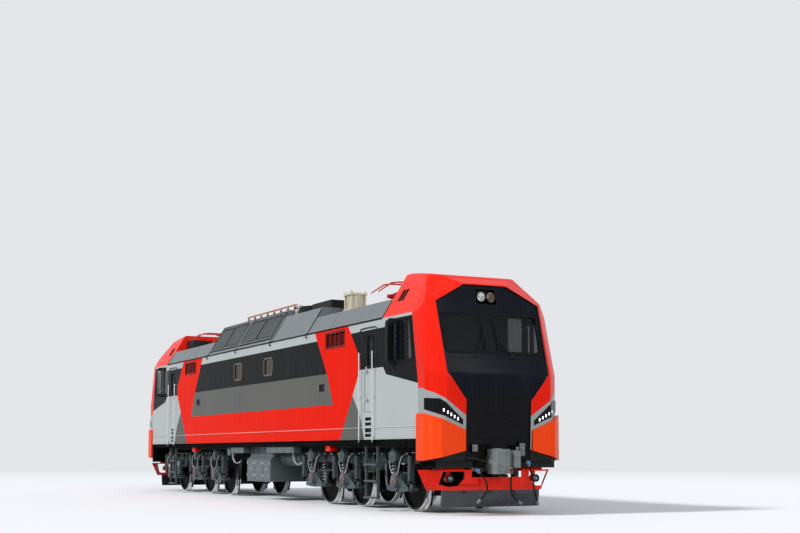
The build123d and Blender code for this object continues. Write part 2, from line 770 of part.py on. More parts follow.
# Handrails on stand-offs beside each door, and a step ladder below the sill
rail_radius = 16.0
rail_stand = 70.0
rail_places = (7160.0, 7850.0)
rail_low_z = above_rail(1450)
rail_top_z = above_rail(3450)
rail_y = body_half_width + rail_stand
ladder_middle_x = 7580.0
ladder_half = 300.0
ladder_y = body_half_width - 65.0
with BuildPart() as rails:
    with BuildSketch(Plane.XY.offset(rail_low_z)):
        with Locations(*[(x, -rail_y) for x in rail_places]):
            Circle(rail_radius)
    extrude(amount=rail_top_z - rail_low_z)
    with BuildSketch(Plane.XZ.offset(body_half_width)):
        for z in (rail_low_z + 120, (rail_low_z + rail_top_z) / 2, rail_top_z - 30):
            with Locations(*[(x, z) for x in rail_places]):
                Circle(rail_radius - 4)
    extrude(amount=rail_stand)
with BuildPart() as ladder:
    with BuildSketch(Plane.XY.offset(above_rail(230))):
        with Locations((ladder_middle_x - ladder_half, -ladder_y), (ladder_middle_x + ladder_half, -ladder_y)):
            Rectangle(40, 60)
    extrude(amount=floor_low_z - above_rail(230))
    for z in (250.0, 610.0, 970.0):
        with BuildSketch(Plane.XY.offset(above_rail(z))):
            with Locations((ladder_middle_x, -ladder_y - 10)):
                Rectangle(2 * ladder_half + 40, 110)
        extrude(amount=24)
rails_and_ladder = Compound(children=list(rails.part.solids()) + list(ladder.part.solids()))
write(both_ends(both_sides(rails_and_ladder)), "handrails_and_ladders")

# Doors with their windows and levers, hinged at the edge next to the cab
door_thick = 40.0
door_outer_y = body_half_width - 5
with BuildPart() as door:
    with BuildSketch(Plane.XZ.offset(door_outer_y - door_thick)):
        with Locations(((door_rear_x + swing_gap + hinge_x) / 2, (door_low_z + door_top_z) / 2)):
            Rectangle(hinge_x - door_rear_x - swing_gap, door_top_z - door_low_z - 2 * joint_gap)
        with Locations((door_window_x, door_window_z)):
            RectangleRounded(300, 680, 140, mode=Mode.SUBTRACT)
    extrude(amount=door_thick)
    with BuildSketch(Plane.XZ.offset(door_outer_y)):
        with Locations((door_rear_x + 70, above_rail(3030)), (door_rear_x + 70, above_rail(2400))):
            Rectangle(30, 30)
    extrude(amount=35)
    with BuildSketch(Plane.XZ.offset(door_outer_y + 35)):
        with Locations((door_rear_x + 120, above_rail(3030)), (door_rear_x + 120, above_rail(2400))):
            Rectangle(150, 34)
    extrude(amount=16)
    for z in hinge_heights:
        with BuildSketch(Plane.XY.offset(z - hinge_barrel / 2)):
            with Locations((hinge_x, -hinge_y)):
                Circle(hinge_radius)
            with Locations((hinge_x - 30, -hinge_y - (door_outer_y - door_thick - hinge_y) / 2 - 2)):
                Rectangle(60, door_outer_y - door_thick - hinge_y - 4)
            with Locations((hinge_x, -hinge_y)):
                Circle(hinge_pin + pin_play, mode=Mode.SUBTRACT)
        extrude(amount=hinge_barrel)
for name, end in ends:
    for side, y in sides:
        placed = at_end(door.part, end)
        placed = mirror(placed, about=Plane.XZ) if y > 0 else placed
        write(placed, f"{name}_{side}_door")

# Driving desk, seats and rear lockers in each cab
desk_half_width = body_half_width - 200.0
with BuildPart() as desk:
    with BuildSketch(Plane.XZ.offset(-desk_half_width)):
        with BuildLine():
            Polyline((9500, sill_z), (9820, sill_z), (10050, above_rail(2500)), (10050, above_rail(3150)),
                     (9700, above_rail(3150)), (9350, above_rail(2650)), (9350, above_rail(2560)),
                     (9500, above_rail(2500)), close=True)
        make_face()
    extrude(amount=2 * desk_half_width)
with BuildPart() as seats:
    for y in (650, -650):
        with BuildSketch(Plane.XZ.offset(y - 230)):
            with BuildLine():
                Polyline((8900, sill_z), (9000, sill_z), (9000, above_rail(2060)), (9180, above_rail(2060)),
                         (9180, above_rail(2180)), (8820, above_rail(2180)), (8700, above_rail(2900)),
                         (8600, above_rail(2900)), (8720, above_rail(2060)), (8900, above_rail(2060)),
                         close=True)
            make_face()
        extrude(amount=460)
cab_fittings = Compound(children=list(desk.part.solids()) + list(seats.part.solids()))
write(both_ends(cab_fittings), "cab_desks_and_seats")

# Wheel section: radius and distance from the track middle, for one wheel
wheel_inner_y = back_to_back / 2
wheel_outer_y = wheel_inner_y + wheel_width
flange_radius = wheel_radius + flange_height
rim_radius = wheel_radius - 75
hub_radius = 165.0
web_inner_y = wheel_inner_y + 45
web_outer_y = web_inner_y + 45
with BuildPart() as wheelset:
    with BuildSketch(Plane.XY):
        with BuildLine():
            Polyline((0, 0), (axle_radius, 0), (axle_radius, wheel_inner_y - 30),
                     (hub_radius, wheel_inner_y - 30), (hub_radius, web_inner_y), (rim_radius, web_inner_y),
                     (rim_radius, wheel_inner_y), (flange_radius - 12, wheel_inner_y),
                     (flange_radius, wheel_inner_y + 14), (wheel_radius + 4, wheel_inner_y + 38),
                     (wheel_radius, wheel_inner_y + 60), (wheel_radius - 6, wheel_outer_y),
                     (rim_radius, wheel_outer_y), (rim_radius, web_outer_y), (hub_radius, web_outer_y),
                     (hub_radius, wheel_outer_y + 20), (journal_radius, wheel_outer_y + 20),
                     (journal_radius, axlebox_outer_y - 30), (0, axlebox_outer_y - 30), close=True)
        make_face()
        mirror(about=Plane.XZ)
    revolve(axis=Axis.Y)
wheelset_form = wheelset.part
for name, end in ends:
    for number, place in enumerate(axle_places, start=1):
        write(Pos(end * place, 0, axle_z) * wheelset_form, f"{name}_wheelset_{number}")

# Bogie frame: two side beams with drop ends, cross beams, centre beam and pivot
frame_front_x = 9330.0
frame_rear_x = 2900.0
transoms = (9250.0, 7050.0, 4750.0, 2980.0)
transom_width = 160.0
pivot_radius = 160.0
motor_offset = 460.0
motor_hanger_front = axle_places[0] - motor_offset + 100
motor_hanger_rear = axle_places[2] + motor_offset - 100
with BuildPart() as bogie_frame:
    for y in (1, -1):
        with BuildSketch(Plane.XZ.offset(-y * side_frame_y - side_frame_width / 2)):
            with BuildLine():
                Polyline((frame_rear_x, side_frame_top_z - 40), (frame_rear_x + 150, side_frame_top_z),
                         (frame_front_x - 150, side_frame_top_z), (frame_front_x, side_frame_top_z - 40),
                         (frame_front_x, side_frame_low_z), (7650, side_frame_low_z),
                         (7450, side_frame_low_z - 160), (6650, side_frame_low_z - 160),
                         (6450, side_frame_low_z), (frame_rear_x, side_frame_low_z), close=True)
            make_face()
        extrude(amount=side_frame_width)
    with BuildSketch(Plane.XY.offset(side_frame_low_z + 30)):
        with Locations(*[(x, 0) for x in transoms]):
            Rectangle(transom_width, 2 * side_frame_y)
        with Locations(((motor_hanger_front + motor_hanger_rear) / 2, 0)):
            Rectangle(motor_hanger_front - motor_hanger_rear, 380)
    extrude(amount=side_frame_top_z - side_frame_low_z - 40)
    with BuildSketch(Plane.XY.offset(side_frame_low_z + 100)):
        with Locations((bogie_middle_x, 0)):
            Circle(pivot_radius)
    extrude(amount=floor_low_z - 0.5 - side_frame_low_z - 100)

# Axleboxes with end caps and spring wings, standing on each journal
wing_half_length = 520.0
with BuildPart() as axleboxes:
    for place in axle_places:
        for y in (1, -1):
            with BuildSketch(Plane.XZ.offset(-y * (axlebox_inner_y + axlebox_outer_y) / 2
                                             - (axlebox_outer_y - axlebox_inner_y) / 2)):
                with BuildLine():
                    Polyline((place - wing_half_length, spring_seat_z), (place + wing_half_length, spring_seat_z),
                             (place + wing_half_length, spring_seat_z - 60),
                             (place + axlebox_half_length, spring_seat_z - 90),
                             (place - axlebox_half_length, spring_seat_z - 90),
                             (place - wing_half_length, spring_seat_z - 60), close=True)
                make_face()
                with Locations((place, axle_z)):
                    RectangleRounded(2 * axlebox_half_length, 400, 90)
            extrude(amount=axlebox_outer_y - axlebox_inner_y)
            with BuildSketch(Plane.XZ.offset(-y * (axlebox_inner_y + axlebox_outer_y) / 2
                                             - (axlebox_outer_y - axlebox_inner_y) / 2)):
                with Locations((place, axle_z)):
                    Circle(journal_radius + 0.5)
            extrude(amount=axlebox_outer_y - axlebox_inner_y, mode=Mode.SUBTRACT)
            with BuildSketch(Plane.XZ.offset(-y * (axlebox_outer_y + axle_cap_y) / 2
                                             - (axle_cap_y - axlebox_outer_y) / 2)):
                with Locations((place, axle_z)):
                    Circle(135)
            extrude(amount=axle_cap_y - axlebox_outer_y)

# Springs between the wings and the side beams
with BuildPart() as springs:
    for place in axle_places:
        with BuildSketch(Plane.XY.offset(spring_seat_z)):
            with Locations(*[(place + dx, y * side_frame_y) for dx in (-spring_spread, spring_spread)
                             for y in (1, -1)]):
                Circle(spring_radius)
        extrude(amount=side_frame_low_z - spring_seat_z)

# Brake cylinders and dampers on the side beams
cylinder_radius = 150.0
cylinder_length = 135.0
damper_places = (9040.0, 6340.0, 5060.0, 3160.0)
beam_outer_y = side_frame_y + side_frame_width / 2
with BuildPart() as bogie_gear:
    for y in (1, -1):
        with BuildSketch(Plane.XZ.offset(-y * beam_outer_y - (cylinder_length if y > 0 else 0))):
            with Locations(*[(place - 60, above_rail(1170)) for place in axle_places]):
                Circle(cylinder_radius)
        extrude(amount=cylinder_length)
        with BuildSketch(Plane.XZ.offset(-y * beam_outer_y - (100 if y > 0 else 0))):
            with Locations(*[(x, above_rail(900)) for x in damper_places]):
                RectangleRounded(90, 560, 40)
        extrude(amount=100)

# Brake blocks on the wheel treads, hung from the cross beams: axle place, side of the axle, cross beam
block_gap = 8.0
block_thick = 55.0
block_width = 80.0
block_y = back_to_back / 2 + 85
brake_places = ((axle_places[0], 1, 9250.0), (axle_places[1], -1, 4750.0), (axle_places[2], -1, 2980.0))
with BuildPart() as brake_blocks:
    for place, way, beam in brake_places:
        for y in (1, -1):
            with BuildSketch(Plane.XZ.offset(-y * block_y - block_width / 2)):
                with Locations((place, axle_z)):
                    Circle(wheel_radius + block_gap + block_thick)
                    Circle(wheel_radius + block_gap, mode=Mode.SUBTRACT)
                with Locations((place + way * wheel_radius, axle_z + 20)):
                    Rectangle(300, 400, mode=Mode.INTERSECT)
                near_x = place + way * (wheel_radius + block_gap + block_thick - 12)
                hanger = ((near_x, axle_z + 60), (near_x, axle_z - 40),
                          (beam + way * 70, side_frame_low_z + 30), (beam, side_frame_low_z + 30))
                Polygon(*hanger[::way], align=None)
            extrude(amount=block_width)

# Traction motors hung beside each axle, and their gearcases
motor_radius = 310.0
motor_places = ((axle_places[0], -1), (axle_places[1], -1), (axle_places[2], 1))
with BuildPart() as motors:
    for place, side in motor_places:
        with BuildSketch(Plane.XZ.offset(-560)):
            with Locations((place + side * motor_offset, axle_z)):
                RegularPolygon(motor_radius, 8, major_radius=False)
        extrude(amount=1120)
        with BuildSketch(Plane.XY.offset(axle_z + motor_radius - 20)):
            with Locations((place + side * motor_offset, 0)):
                Rectangle(200, 400)
        extrude(amount=side_frame_low_z + 30 - axle_z - motor_radius + 20)

for name, end in ends:
    write(at_end(bogie_frame.part, end), f"{name}_bogie_frame")
    boxes_and_brakes = Compound(children=list(axleboxes.part.solids()) + list(bogie_gear.part.solids())
                                + list(brake_blocks.part.solids()))
    write(at_end(boxes_and_brakes, end), f"{name}_axleboxes_and_brakes")
    write(at_end(springs.part, end), f"{name}_springs")
    write(at_end(motors.part, end), f"{name}_traction_motors")

# Single-arm pantograph, folded: pivots in the XZ plane
pan_x = 6950.0
pan_arm = 1300.0
pan_fold = math.radians(4)
pan_pivot_z = above_rail(4870)
knee_x = pan_x - pan_arm * math.cos(pan_fold)
knee_z = pan_pivot_z + pan_arm * math.sin(pan_fold)
head_z = knee_z + pan_arm * math.sin(pan_fold)
pin_radius = 20.0
insulator_places = ((-500.0, -380.0), (-500.0, 380.0), (450.0, -380.0), (450.0, 380.0))
base_low_z = above_rail(4760)

with BuildPart() as pan_base:
    for dx, y in insulator_places:
        with BuildSketch(Plane.XY.offset(deck_z)):
            with Locations((pan_x + dx, y)):
                Circle(45)
        extrude(amount=base_low_z - deck_z)
        with BuildSketch(Plane.XY.offset(deck_z + 40)):
            with Locations((pan_x + dx, y)):
                Circle(80)
        extrude(amount=30)
        with BuildSketch(Plane.XY.offset(deck_z + 110)):
            with Locations((pan_x + dx, y)):
                Circle(80)
        extrude(amount=30)
    with BuildSketch(Plane.XY.offset(base_low_z)):
        with Locations((pan_x - 25, 0)):
            Rectangle(1130, 860)
            Rectangle(990, 720, mode=Mode.SUBTRACT)
            with Locations((25, 0)):
                Rectangle(90, 860)
    extrude(amount=50)
    for y in (1, -1):
        with BuildSketch(Plane.XZ.offset(-y * 390 - 15)):
            with Locations((pan_x, base_low_z + 80)):
                Rectangle(110, 140)
            with Locations((pan_x, pan_pivot_z)):
                Circle(70)
                Circle(pin_radius + pin_play, mode=Mode.SUBTRACT)
        extrude(amount=30)

with BuildPart() as lower_arm:
    with BuildSketch(Plane(origin=(pan_x, 0, pan_pivot_z), z_dir=(knee_x - pan_x, 0, knee_z - pan_pivot_z))):
        Circle(45)
    extrude(amount=pan_arm)
    with BuildSketch(Plane.XZ.offset(-370)):
        with Locations((pan_x, pan_pivot_z)):
            Circle(55)
    extrude(amount=740)
    with BuildSketch(Plane.XZ.offset(-420)):
        with Locations((pan_x, pan_pivot_z)):
            Circle(pin_radius)
    extrude(amount=840)
    with BuildSketch(Plane.XZ.offset(-100)):
        with Locations((knee_x, knee_z)):
            Circle(60)
    extrude(amount=200)
    with BuildSketch(Plane.XZ.offset(-190)):
        with Locations((knee_x, knee_z)):
            Circle(pin_radius)
    extrude(amount=380)

upper_arm_y = 150.0
with BuildPart() as upper_arm:
    for y in (1, -1):
        with BuildSketch(Plane(origin=(knee_x, y * upper_arm_y, knee_z), z_dir=(pan_x - knee_x, 0, head_z - knee_z))):
            Circle(26)
        extrude(amount=pan_arm)
        with BuildSketch(Plane.XZ.offset(-y * upper_arm_y - 30)):
            with Locations((knee_x, knee_z), (pan_x, head_z)):
                Circle(50)
        extrude(amount=60)
        with BuildSketch(Plane.XZ.offset(-y * upper_arm_y - 30)):
            with Locations((knee_x, knee_z), (pan_x, head_z)):
                Circle(pin_radius + pin_play)
        extrude(amount=60, mode=Mode.SUBTRACT)
    with BuildSketch(Plane.XZ.offset(-upper_arm_y)):
        with Locations((knee_x + 0.62 * (pan_x - knee_x), knee_z + 0.62 * (head_z - knee_z))):
            Circle(20)
    extrude(amount=2 * upper_arm_y)

strip_half = 640.0
horn_half = 1130.0
with BuildPart() as pan_head:
    for dx in (-190, 190):
        with BuildSketch(Plane.YZ.offset(pan_x + dx - 25)):
            with BuildLine():
                Polyline((-horn_half, head_z - 180), (-strip_half - 180, head_z + 30), (-strip_half, head_z + 60),
                         (strip_half, head_z + 60), (strip_half + 180, head_z + 30),
                         (horn_half, head_z - 180), (horn_half, head_z - 205), (strip_half + 170, head_z),
                         (strip_half, head_z + 30), (-strip_half, head_z + 30), (-strip_half - 170, head_z),
                         (-horn_half, head_z - 205), close=True)
            make_face()
        extrude(amount=50)
    for y in (230, -230):
        with BuildSketch(Plane.XZ.offset(-y - 15)):
            with Locations((pan_x, head_z + 20)):
                Rectangle(400, 40)
            with Locations((pan_x, head_z)):
                Circle(30)
        extrude(amount=30)
    with BuildSketch(Plane.XZ.offset(-240)):
        with Locations((pan_x, head_z)):
            Circle(pin_radius)
    extrude(amount=480)

write(both_ends(pan_base.part), "pantograph_bases")
for name, end in ends:
    write(at_end(lower_arm.part, end), f"{name}_pantograph_lower_arm")
    write(at_end(upper_arm.part, end), f"{name}_pantograph_upper_arm")
    write(at_end(pan_head.part, end), f"{name}_pantograph_head")

# Upright choke coil on the front deck: battens round a drum, four posts on a base frame
coil_x = 4700.0
coil_y = -600.0
coil_radius = 200.0
coil_low_z = above_rail(4715)
coil_top_z = above_rail(5115)
batten = 26.0
batten_count = 24
post_offset = 180.0
with BuildPart() as coil:
    with BuildSketch(Plane.XY.offset(coil_low_z)):
        with Locations((coil_x, coil_y)):
            Circle(coil_radius)
            with PolarLocations(coil_radius, batten_count):
                Rectangle(batten, batten * 0.8)
    extrude(amount=coil_top_z - coil_low_z)
    for z in (coil_low_z - 45, coil_top_z - 60):
        with BuildSketch(Plane.XY.offset(z)):
            with Locations((coil_x, coil_y)):
                Rectangle(2 * post_offset + 90, 2 * post_offset + 90)
                Rectangle(2 * post_offset - 10, 2 * post_offset - 10, mode=Mode.SUBTRACT)
        extrude(amount=45)
    with BuildSketch(Plane.XY.offset(deck_z)):
        with Locations((coil_x, coil_y)):
            with GridLocations(2 * post_offset, 2 * post_offset, 2, 2):
                Rectangle(46, 46)
    extrude(amount=coil_top_z + 35 - deck_z)
write(coil.part, "roof_choke_coil")

# Bus bar on insulators along the hood, and boxes on the low hood
bus_y = -800.0
bus_z = above_rail(5190)
with BuildPart() as busbars:
    with BuildSketch(Plane.YZ.offset(-2500)):
        with Locations((bus_y, bus_z)):
            Rectangle(40, 30)
    extrude(amount=3800)
    for number in range(8):
        with BuildSketch(Plane.XY.offset(hatch_hood_z)):
            with Locations((-2400 + number * 520, bus_y)):
                Circle(30)
        extrude(amount=bus_z - 15 - hatch_hood_z)
        with BuildSketch(Plane.XY.offset(hatch_hood_z + 40)):
            with Locations((-2400 + number * 520, bus_y)):
                Circle(60)
        extrude(amount=25)
write(busbars.part, "roof_busbars")
with BuildPart() as boxes:
    with BuildSketch(Plane.XY.offset(low_hood_z)):
        with Locations((3320, -560)):
            Rectangle(1220, 700)
    extrude(amount=200)
    with BuildSketch(Plane.XY.offset(low_hood_z)):
        with Locations((2060, -420)):
            Circle(560)
            Circle(430, mode=Mode.SUBTRACT)
    extrude(amount=210)
write(boxes.part, "roof_boxes")

# Brake and air hoses at the front end: route points of each, from the cock to the end fitting
hose_radius = 20.0
hose_routes = {
    "brake_hose_left": ((10510.0, -505.0, 855.0), (10590.0, -410.0, 740.0), (10625.0, -345.0, 570.0),
                        (10625.0, -385.0, 400.0), (10620.0, -520.0, 290.0)),
    "brake_hose_right": ((10500.0, 290.0, 845.0), (10585.0, 225.0, 715.0), (10620.0, 190.0, 530.0),
                         (10620.0, 230.0, 350.0), (10620.0, 370.0, 250.0)),
    "air_hose_right": ((10510.0, 690.0, 1000.0), (10585.0, 700.0, 860.0), (10610.0, 735.0, 660.0),
                       (10605.0, 770.0, 440.0), (10600.0, 830.0, 250.0)),
}


def hose_points(name):
    return [Vector(x, y, above_rail(z)) for x, y, z in hose_routes[name]]


def bend_radii(points):
    radii = []
    for before, here, after in zip(points, points[1:], points[2:]):
        turn = math.radians((here - before).get_angle(after - here))
        shorter = min((here - before).length, (after - here).length)
        radii.append(0.45 * shorter / math.tan(turn / 2))
    return radii


for name in hose_routes:
    points = hose_points(name)
    radii = bend_radii(points)
    with BuildPart() as hose:
        with BuildLine() as route:
            FilletPolyline(*points, radius=radii)
        with BuildSketch(Plane(origin=route.line @ 0, z_dir=route.line % 0)):
            Circle(hose_radius)
        sweep()
    route_length = sum(edge.length for edge in route.edges())
    ideal = math.pi * hose_radius ** 2 * route_length
    print(name, "bend radii", [round(radius) for radius in radii], "length", round(route_length),
          "volume over section times length", round(hose.part.volume / ideal, 4))
    write(hose.part, name)

# Cocks that the hoses come out of, and their end fittings
with BuildPart() as fittings:
    for name in hose_routes:
        points = hose_points(name)
        start_way = points[0] - points[1]
        end_way = points[-1] - points[-2]
        with BuildSketch(Plane(origin=points[0], z_dir=start_way)):
            Circle(hose_radius + 14)
        extrude(amount=70)
        elbow = points[0] + start_way.normalized() * 40
        below = elbow.Z < headstock_low_z
        stub_from_x = headstock_front_x - 60 if below else headstock_front_x
        with BuildSketch(Plane.YZ.offset(stub_from_x)):
            with Locations((elbow.Y, elbow.Z)):
                Circle(23)
        extrude(amount=elbow.X - stub_from_x)
        if below:
            with BuildSketch(Plane.XY.offset(elbow.Z)):
                with Locations((stub_from_x + 30, elbow.Y)):
                    Circle(26)
            extrude(amount=headstock_low_z - elbow.Z)
        with BuildSketch(Plane(origin=points[-1], z_dir=end_way)):
            Circle(hose_radius + 10)
        extrude(amount=90)
write(fittings.part, "hose_fittings")
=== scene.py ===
import math

import bmesh
import bpy
from mathutils import Matrix, Vector


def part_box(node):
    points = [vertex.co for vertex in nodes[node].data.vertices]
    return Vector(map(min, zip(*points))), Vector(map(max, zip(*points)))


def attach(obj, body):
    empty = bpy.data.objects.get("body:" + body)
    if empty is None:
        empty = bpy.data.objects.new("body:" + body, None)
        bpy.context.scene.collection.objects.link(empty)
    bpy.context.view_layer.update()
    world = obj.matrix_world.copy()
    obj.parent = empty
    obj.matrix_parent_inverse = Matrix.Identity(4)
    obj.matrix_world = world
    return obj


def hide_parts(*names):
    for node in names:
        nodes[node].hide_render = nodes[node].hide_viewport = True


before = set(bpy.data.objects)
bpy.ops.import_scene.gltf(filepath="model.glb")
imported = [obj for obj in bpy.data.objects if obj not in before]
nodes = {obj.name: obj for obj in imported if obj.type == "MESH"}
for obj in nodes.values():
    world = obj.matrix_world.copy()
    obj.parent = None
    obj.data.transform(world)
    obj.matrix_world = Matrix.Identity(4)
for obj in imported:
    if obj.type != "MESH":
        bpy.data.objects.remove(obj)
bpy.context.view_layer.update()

# The frame: X along the locomotive, front cab at +X, Z up, wheel flanges on Z = 0. Metres.
RAIL_TOP = 0.030
BODY = "locomotive_body"
HALF_WIDTH = 1.55
EAVES = RAIL_TOP + 4.13
HATCH_HOOD_Z = RAIL_TOP + 5.02
DECK_Z = RAIL_TOP + 4.53
ROOF_GEAR_Z = RAIL_TOP + 4.83
AXLES = (8.4, 5.7, 3.8)
AXLE_Z = 0.655
TREAD_RADIUS, RIM_RADIUS = 0.606, 0.545
ENDS = (("front", 1), ("rear", -1))
SIDES = (("left", 1), ("right", -1))
UP = Vector((0, 0, 1))
AHEAD = Vector((1, 0, 0))
SIDE_OUT = Vector((0, -1, 0))


def rail(height):
    """A height above the rail, in the frame."""
    return RAIL_TOP + height


# Camera at the photograph's place: low beside the front right corner, looking up slightly
PICTURE_WIDTH = 800
PICTURE_HEIGHT = 533
FOCAL_PIXELS = 1283.0
HORIZON_ROW = 453.0
VANISHING_PIXELS = 635.0  # from the middle of the picture to where the long side's lines meet
SENSOR_WIDTH = 36.0
SHIFT = 0.115
FAR_CLIP = 900.0
CAMERA_PLACE = (33.06, -13.42, rail(1.23))


def make_camera():
    """Takes the picture from where the photograph was taken, with its lens and its horizon."""
    data = bpy.data.cameras.new("camera")
    data.sensor_width = SENSOR_WIDTH
    data.lens = FOCAL_PIXELS / PICTURE_WIDTH * SENSOR_WIDTH
    data.shift_y = SHIFT
    data.clip_end = FAR_CLIP
    camera = bpy.data.objects.new("camera", data)
    bpy.context.scene.collection.objects.link(camera)
    below_middle = HORIZON_ROW - PICTURE_HEIGHT / 2 - SHIFT * PICTURE_WIDTH
    pitch = math.atan2(below_middle, FOCAL_PIXELS)
    heading = math.atan2(VANISHING_PIXELS, FOCAL_PIXELS)
    look = Vector((-math.cos(heading) * math.cos(pitch), math.sin(heading) * math.cos(pitch),
                   math.sin(pitch)))
    camera.location = CAMERA_PLACE
    camera.rotation_mode = "QUATERNION"
    camera.rotation_quaternion = look.to_track_quat("-Z", "Y")
    bpy.context.scene.camera = camera


make_camera()


# Brake and air hoses: the route of each from its cock down to its end fitting
HOSE_DIAMETER = 0.040
HOSES = (
    ("brake_hose_left", 0.690, ((10.510, -0.505, 0.855), (10.590, -0.410, 0.740), (10.625, -0.345, 0.570),
                                (10.625, -0.385, 0.400), (10.620, -0.520, 0.290))),
    ("brake_hose_right", 0.704, ((10.500, 0.290, 0.845), (10.585, 0.225, 0.715), (10.620, 0.190, 0.530),
                                 (10.620, 0.230, 0.350), (10.620, 0.370, 0.250))),
    ("air_hose_right", 0.783, ((10.510, 0.690, 1.000), (10.585, 0.700, 0.860), (10.610, 0.735, 0.660),
                               (10.605, 0.770, 0.440), (10.600, 0.830, 0.250))),
)


def make_hoses(rubber):
    """The three front hoses, each hanging from its cock."""
    for name, length, route in HOSES:
        curve = bpy.data.curves.new(name + "_line", "CURVE")
        curve.dimensions = "3D"
        curve.bevel_depth = HOSE_DIAMETER / 2
        curve.bevel_resolution = 5
        curve.resolution_u = 16
        curve.use_fill_caps = True
        spline = curve.splines.new("NURBS")
        spline.points.add(len(route) - 1)
        for point, (x, y, z) in zip(spline.points, route):
            point.co = (x, y, rail(z), 1.0)
        spline.order_u = 3
        spline.use_endpoint_u = True
        hose = bpy.data.objects.new(name + "_rubber", curve)
        bpy.context.scene.collection.objects.link(hose)
        hose.data.materials.append(rubber)
        x, y, z = route[0]
        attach(hose, BODY)
        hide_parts(name)


def srgb(red, green, blue):
    """A colour written as screen values from 0 to 255, as linear light."""
    def linear(value):
        value = value / 255
        return value / 12.92 if value <= 0.04045 else ((value + 0.055) / 1.055) ** 2.4
    return (linear(red), linear(green), linear(blue), 1.0)


def level(value):
    """A plain number for a socket that takes a colour."""
    return (value, value, value, 1.0)


class Finish:
    """One paint, metal, rubber or glass: its shader and the pattern nodes that feed it."""

    def __init__(self, name, colour, roughness, metallic=0.0, coat=0.0, specular=0.5):
        self.material = bpy.data.materials.new(name)
        self.material.use_nodes = True
        self.tree = self.material.node_tree
        self.shader = self.tree.nodes["Principled BSDF"]
        self.set("Base Color", colour)
        self.set("Roughness", roughness)
        self.set("Metallic", metallic)
        self.set("Coat Weight", coat)
        self.set("Coat Roughness", 0.05)
        self.set("Specular IOR Level", specular)
        self.coords = None

    def node(self, kind, **settings):
        made = self.tree.nodes.new(kind)
        for key, value in settings.items():
            setattr(made, key, value)
        return made

    def plug(self, socket, source):
        if hasattr(source, "is_output"):
            self.tree.links.new(source, socket)
        else:
            socket.default_value = source

    def set(self, name, source):
        self.plug(self.shader.inputs[name], source)

    def place(self):
        if self.coords is None:
            self.coords = self.node("ShaderNodeTexCoord").outputs["Object"]
        return self.coords

    def axes(self):
        split = self.node("ShaderNodeSeparateXYZ")
        self.plug(split.inputs[0], self.place())
        return split.outputs["X"], split.outputs["Y"], split.outputs["Z"]

    def maths(self, operation, first, second=None, third=None):
        made = self.node("ShaderNodeMath", operation=operation)
        self.plug(made.inputs[0], first)
        if second is not None:
            self.plug(made.inputs[1], second)
        if third is not None:
            self.plug(made.inputs[2], third)
        return made.outputs[0]

    def slant(self, value, slope, at, there):
        """A slanting edge, from its slope and one point: it lies there where the value is at."""
        return self.maths("MULTIPLY_ADD", value, slope, there - slope * at)

    def above(self, value, edge):
        return self.maths("GREATER_THAN", value, edge)

    def below(self, value, edge):
        return self.maths("LESS_THAN", value, edge)

    def near(self, value, place, reach):
        """A thin line: where the value is within this reach of a place."""
        return self.below(self.maths("ABSOLUTE", self.maths("SUBTRACT", value, place)), reach)

    def both(self, *masks):
        result = masks[0]
        for mask in masks[1:]:
            result = self.maths("MULTIPLY", result, mask)
        return result

    def either(self, *masks):
        result = masks[0]
        for mask in masks[1:]:
            result = self.maths("MAXIMUM", result, mask)
        return result

    def without(self, mask):
        return self.maths("SUBTRACT", 1.0, mask)

    def mix(self, mask, first, second):
        made = self.node("ShaderNodeMix", data_type="RGBA")
        self.plug(made.inputs["Factor"], mask)
        self.plug(made.inputs[6], first)
        self.plug(made.inputs[7], second)
        return made.outputs[2]

    def ramp(self, value, low, high, from_value=0.0, to_value=1.0):
        made = self.node("ShaderNodeMapRange")
        for name, source in (("Value", value), ("From Min", low), ("From Max", high), ("To Min", from_value),
                             ("To Max", to_value)):
            self.plug(made.inputs[name], source)
        return made.outputs["Result"]

    def noise(self, scale, detail=3.0, stretch=(1.0, 1.0, 1.0), rough=0.55):
        mapping = self.node("ShaderNodeMapping")
        self.plug(mapping.inputs["Vector"], self.place())
        mapping.inputs["Scale"].default_value = stretch
        made = self.node("ShaderNodeTexNoise")
        self.plug(made.inputs["Vector"], mapping.outputs["Vector"])
        self.plug(made.inputs["Scale"], scale)
        self.plug(made.inputs["Detail"], detail)
        self.plug(made.inputs["Roughness"], rough)
        return made.outputs["Fac"]

    def patches(self, noise, low, high, from_value=0.0, to_value=1.0):
        """Soft patches: a noise, by its settings, stretched between two of its values."""
        return self.ramp(self.noise(*noise), low, high, from_value, to_value)

    def bump(self, height, strength, depth=0.002):
        made = self.node("ShaderNodeBump")
        self.plug(made.inputs["Height"], height)
        self.plug(made.inputs["Strength"], strength)
        self.plug(made.inputs["Distance"], depth)
        self.set("Normal", made.outputs["Normal"])


# Colours of the livery and of the gear
LIGHT_GREY = srgb(188, 193, 193)
MID_GREY = srgb(104, 105, 102)
GLOSS_GREY = srgb(32, 34, 35)
RED = srgb(240, 31, 8)
DEEP_RED = srgb(118, 15, 12)
ORANGE = srgb(255, 74, 20)
ROOF = srgb(115, 120, 123)
PANEL_BLACK = srgb(14, 18, 28)
UNDER_GREY = srgb(90, 100, 102)
UNDER_DARK = srgb(40, 44, 48)
# The lining of inner faces is kept dark as painted shade of the inside.
LINING_AND_SHADE = srgb(52, 56, 60)
DUST = srgb(128, 122, 110)
RUST = srgb(120, 78, 54)
CAB_MIDDLE_X, CAB_MIDDLE_Z = 8.9, 3.2

# Lines of the livery and of the wall sheets: heights above the rail, and places from the middle
BELT_Z, GREY_TOP_Z, DARK_TOP_Z = 2.35, 3.09, 3.91
SHEET_SEAMS = (0.84, 3.05, 5.02, 6.98)
# The crease under the cab window is drawn as a dark line: painted shade of the fold.
CREASE_Z, CREASE_FROM = 3.0, 8.6
SEAM_REACH = 0.004


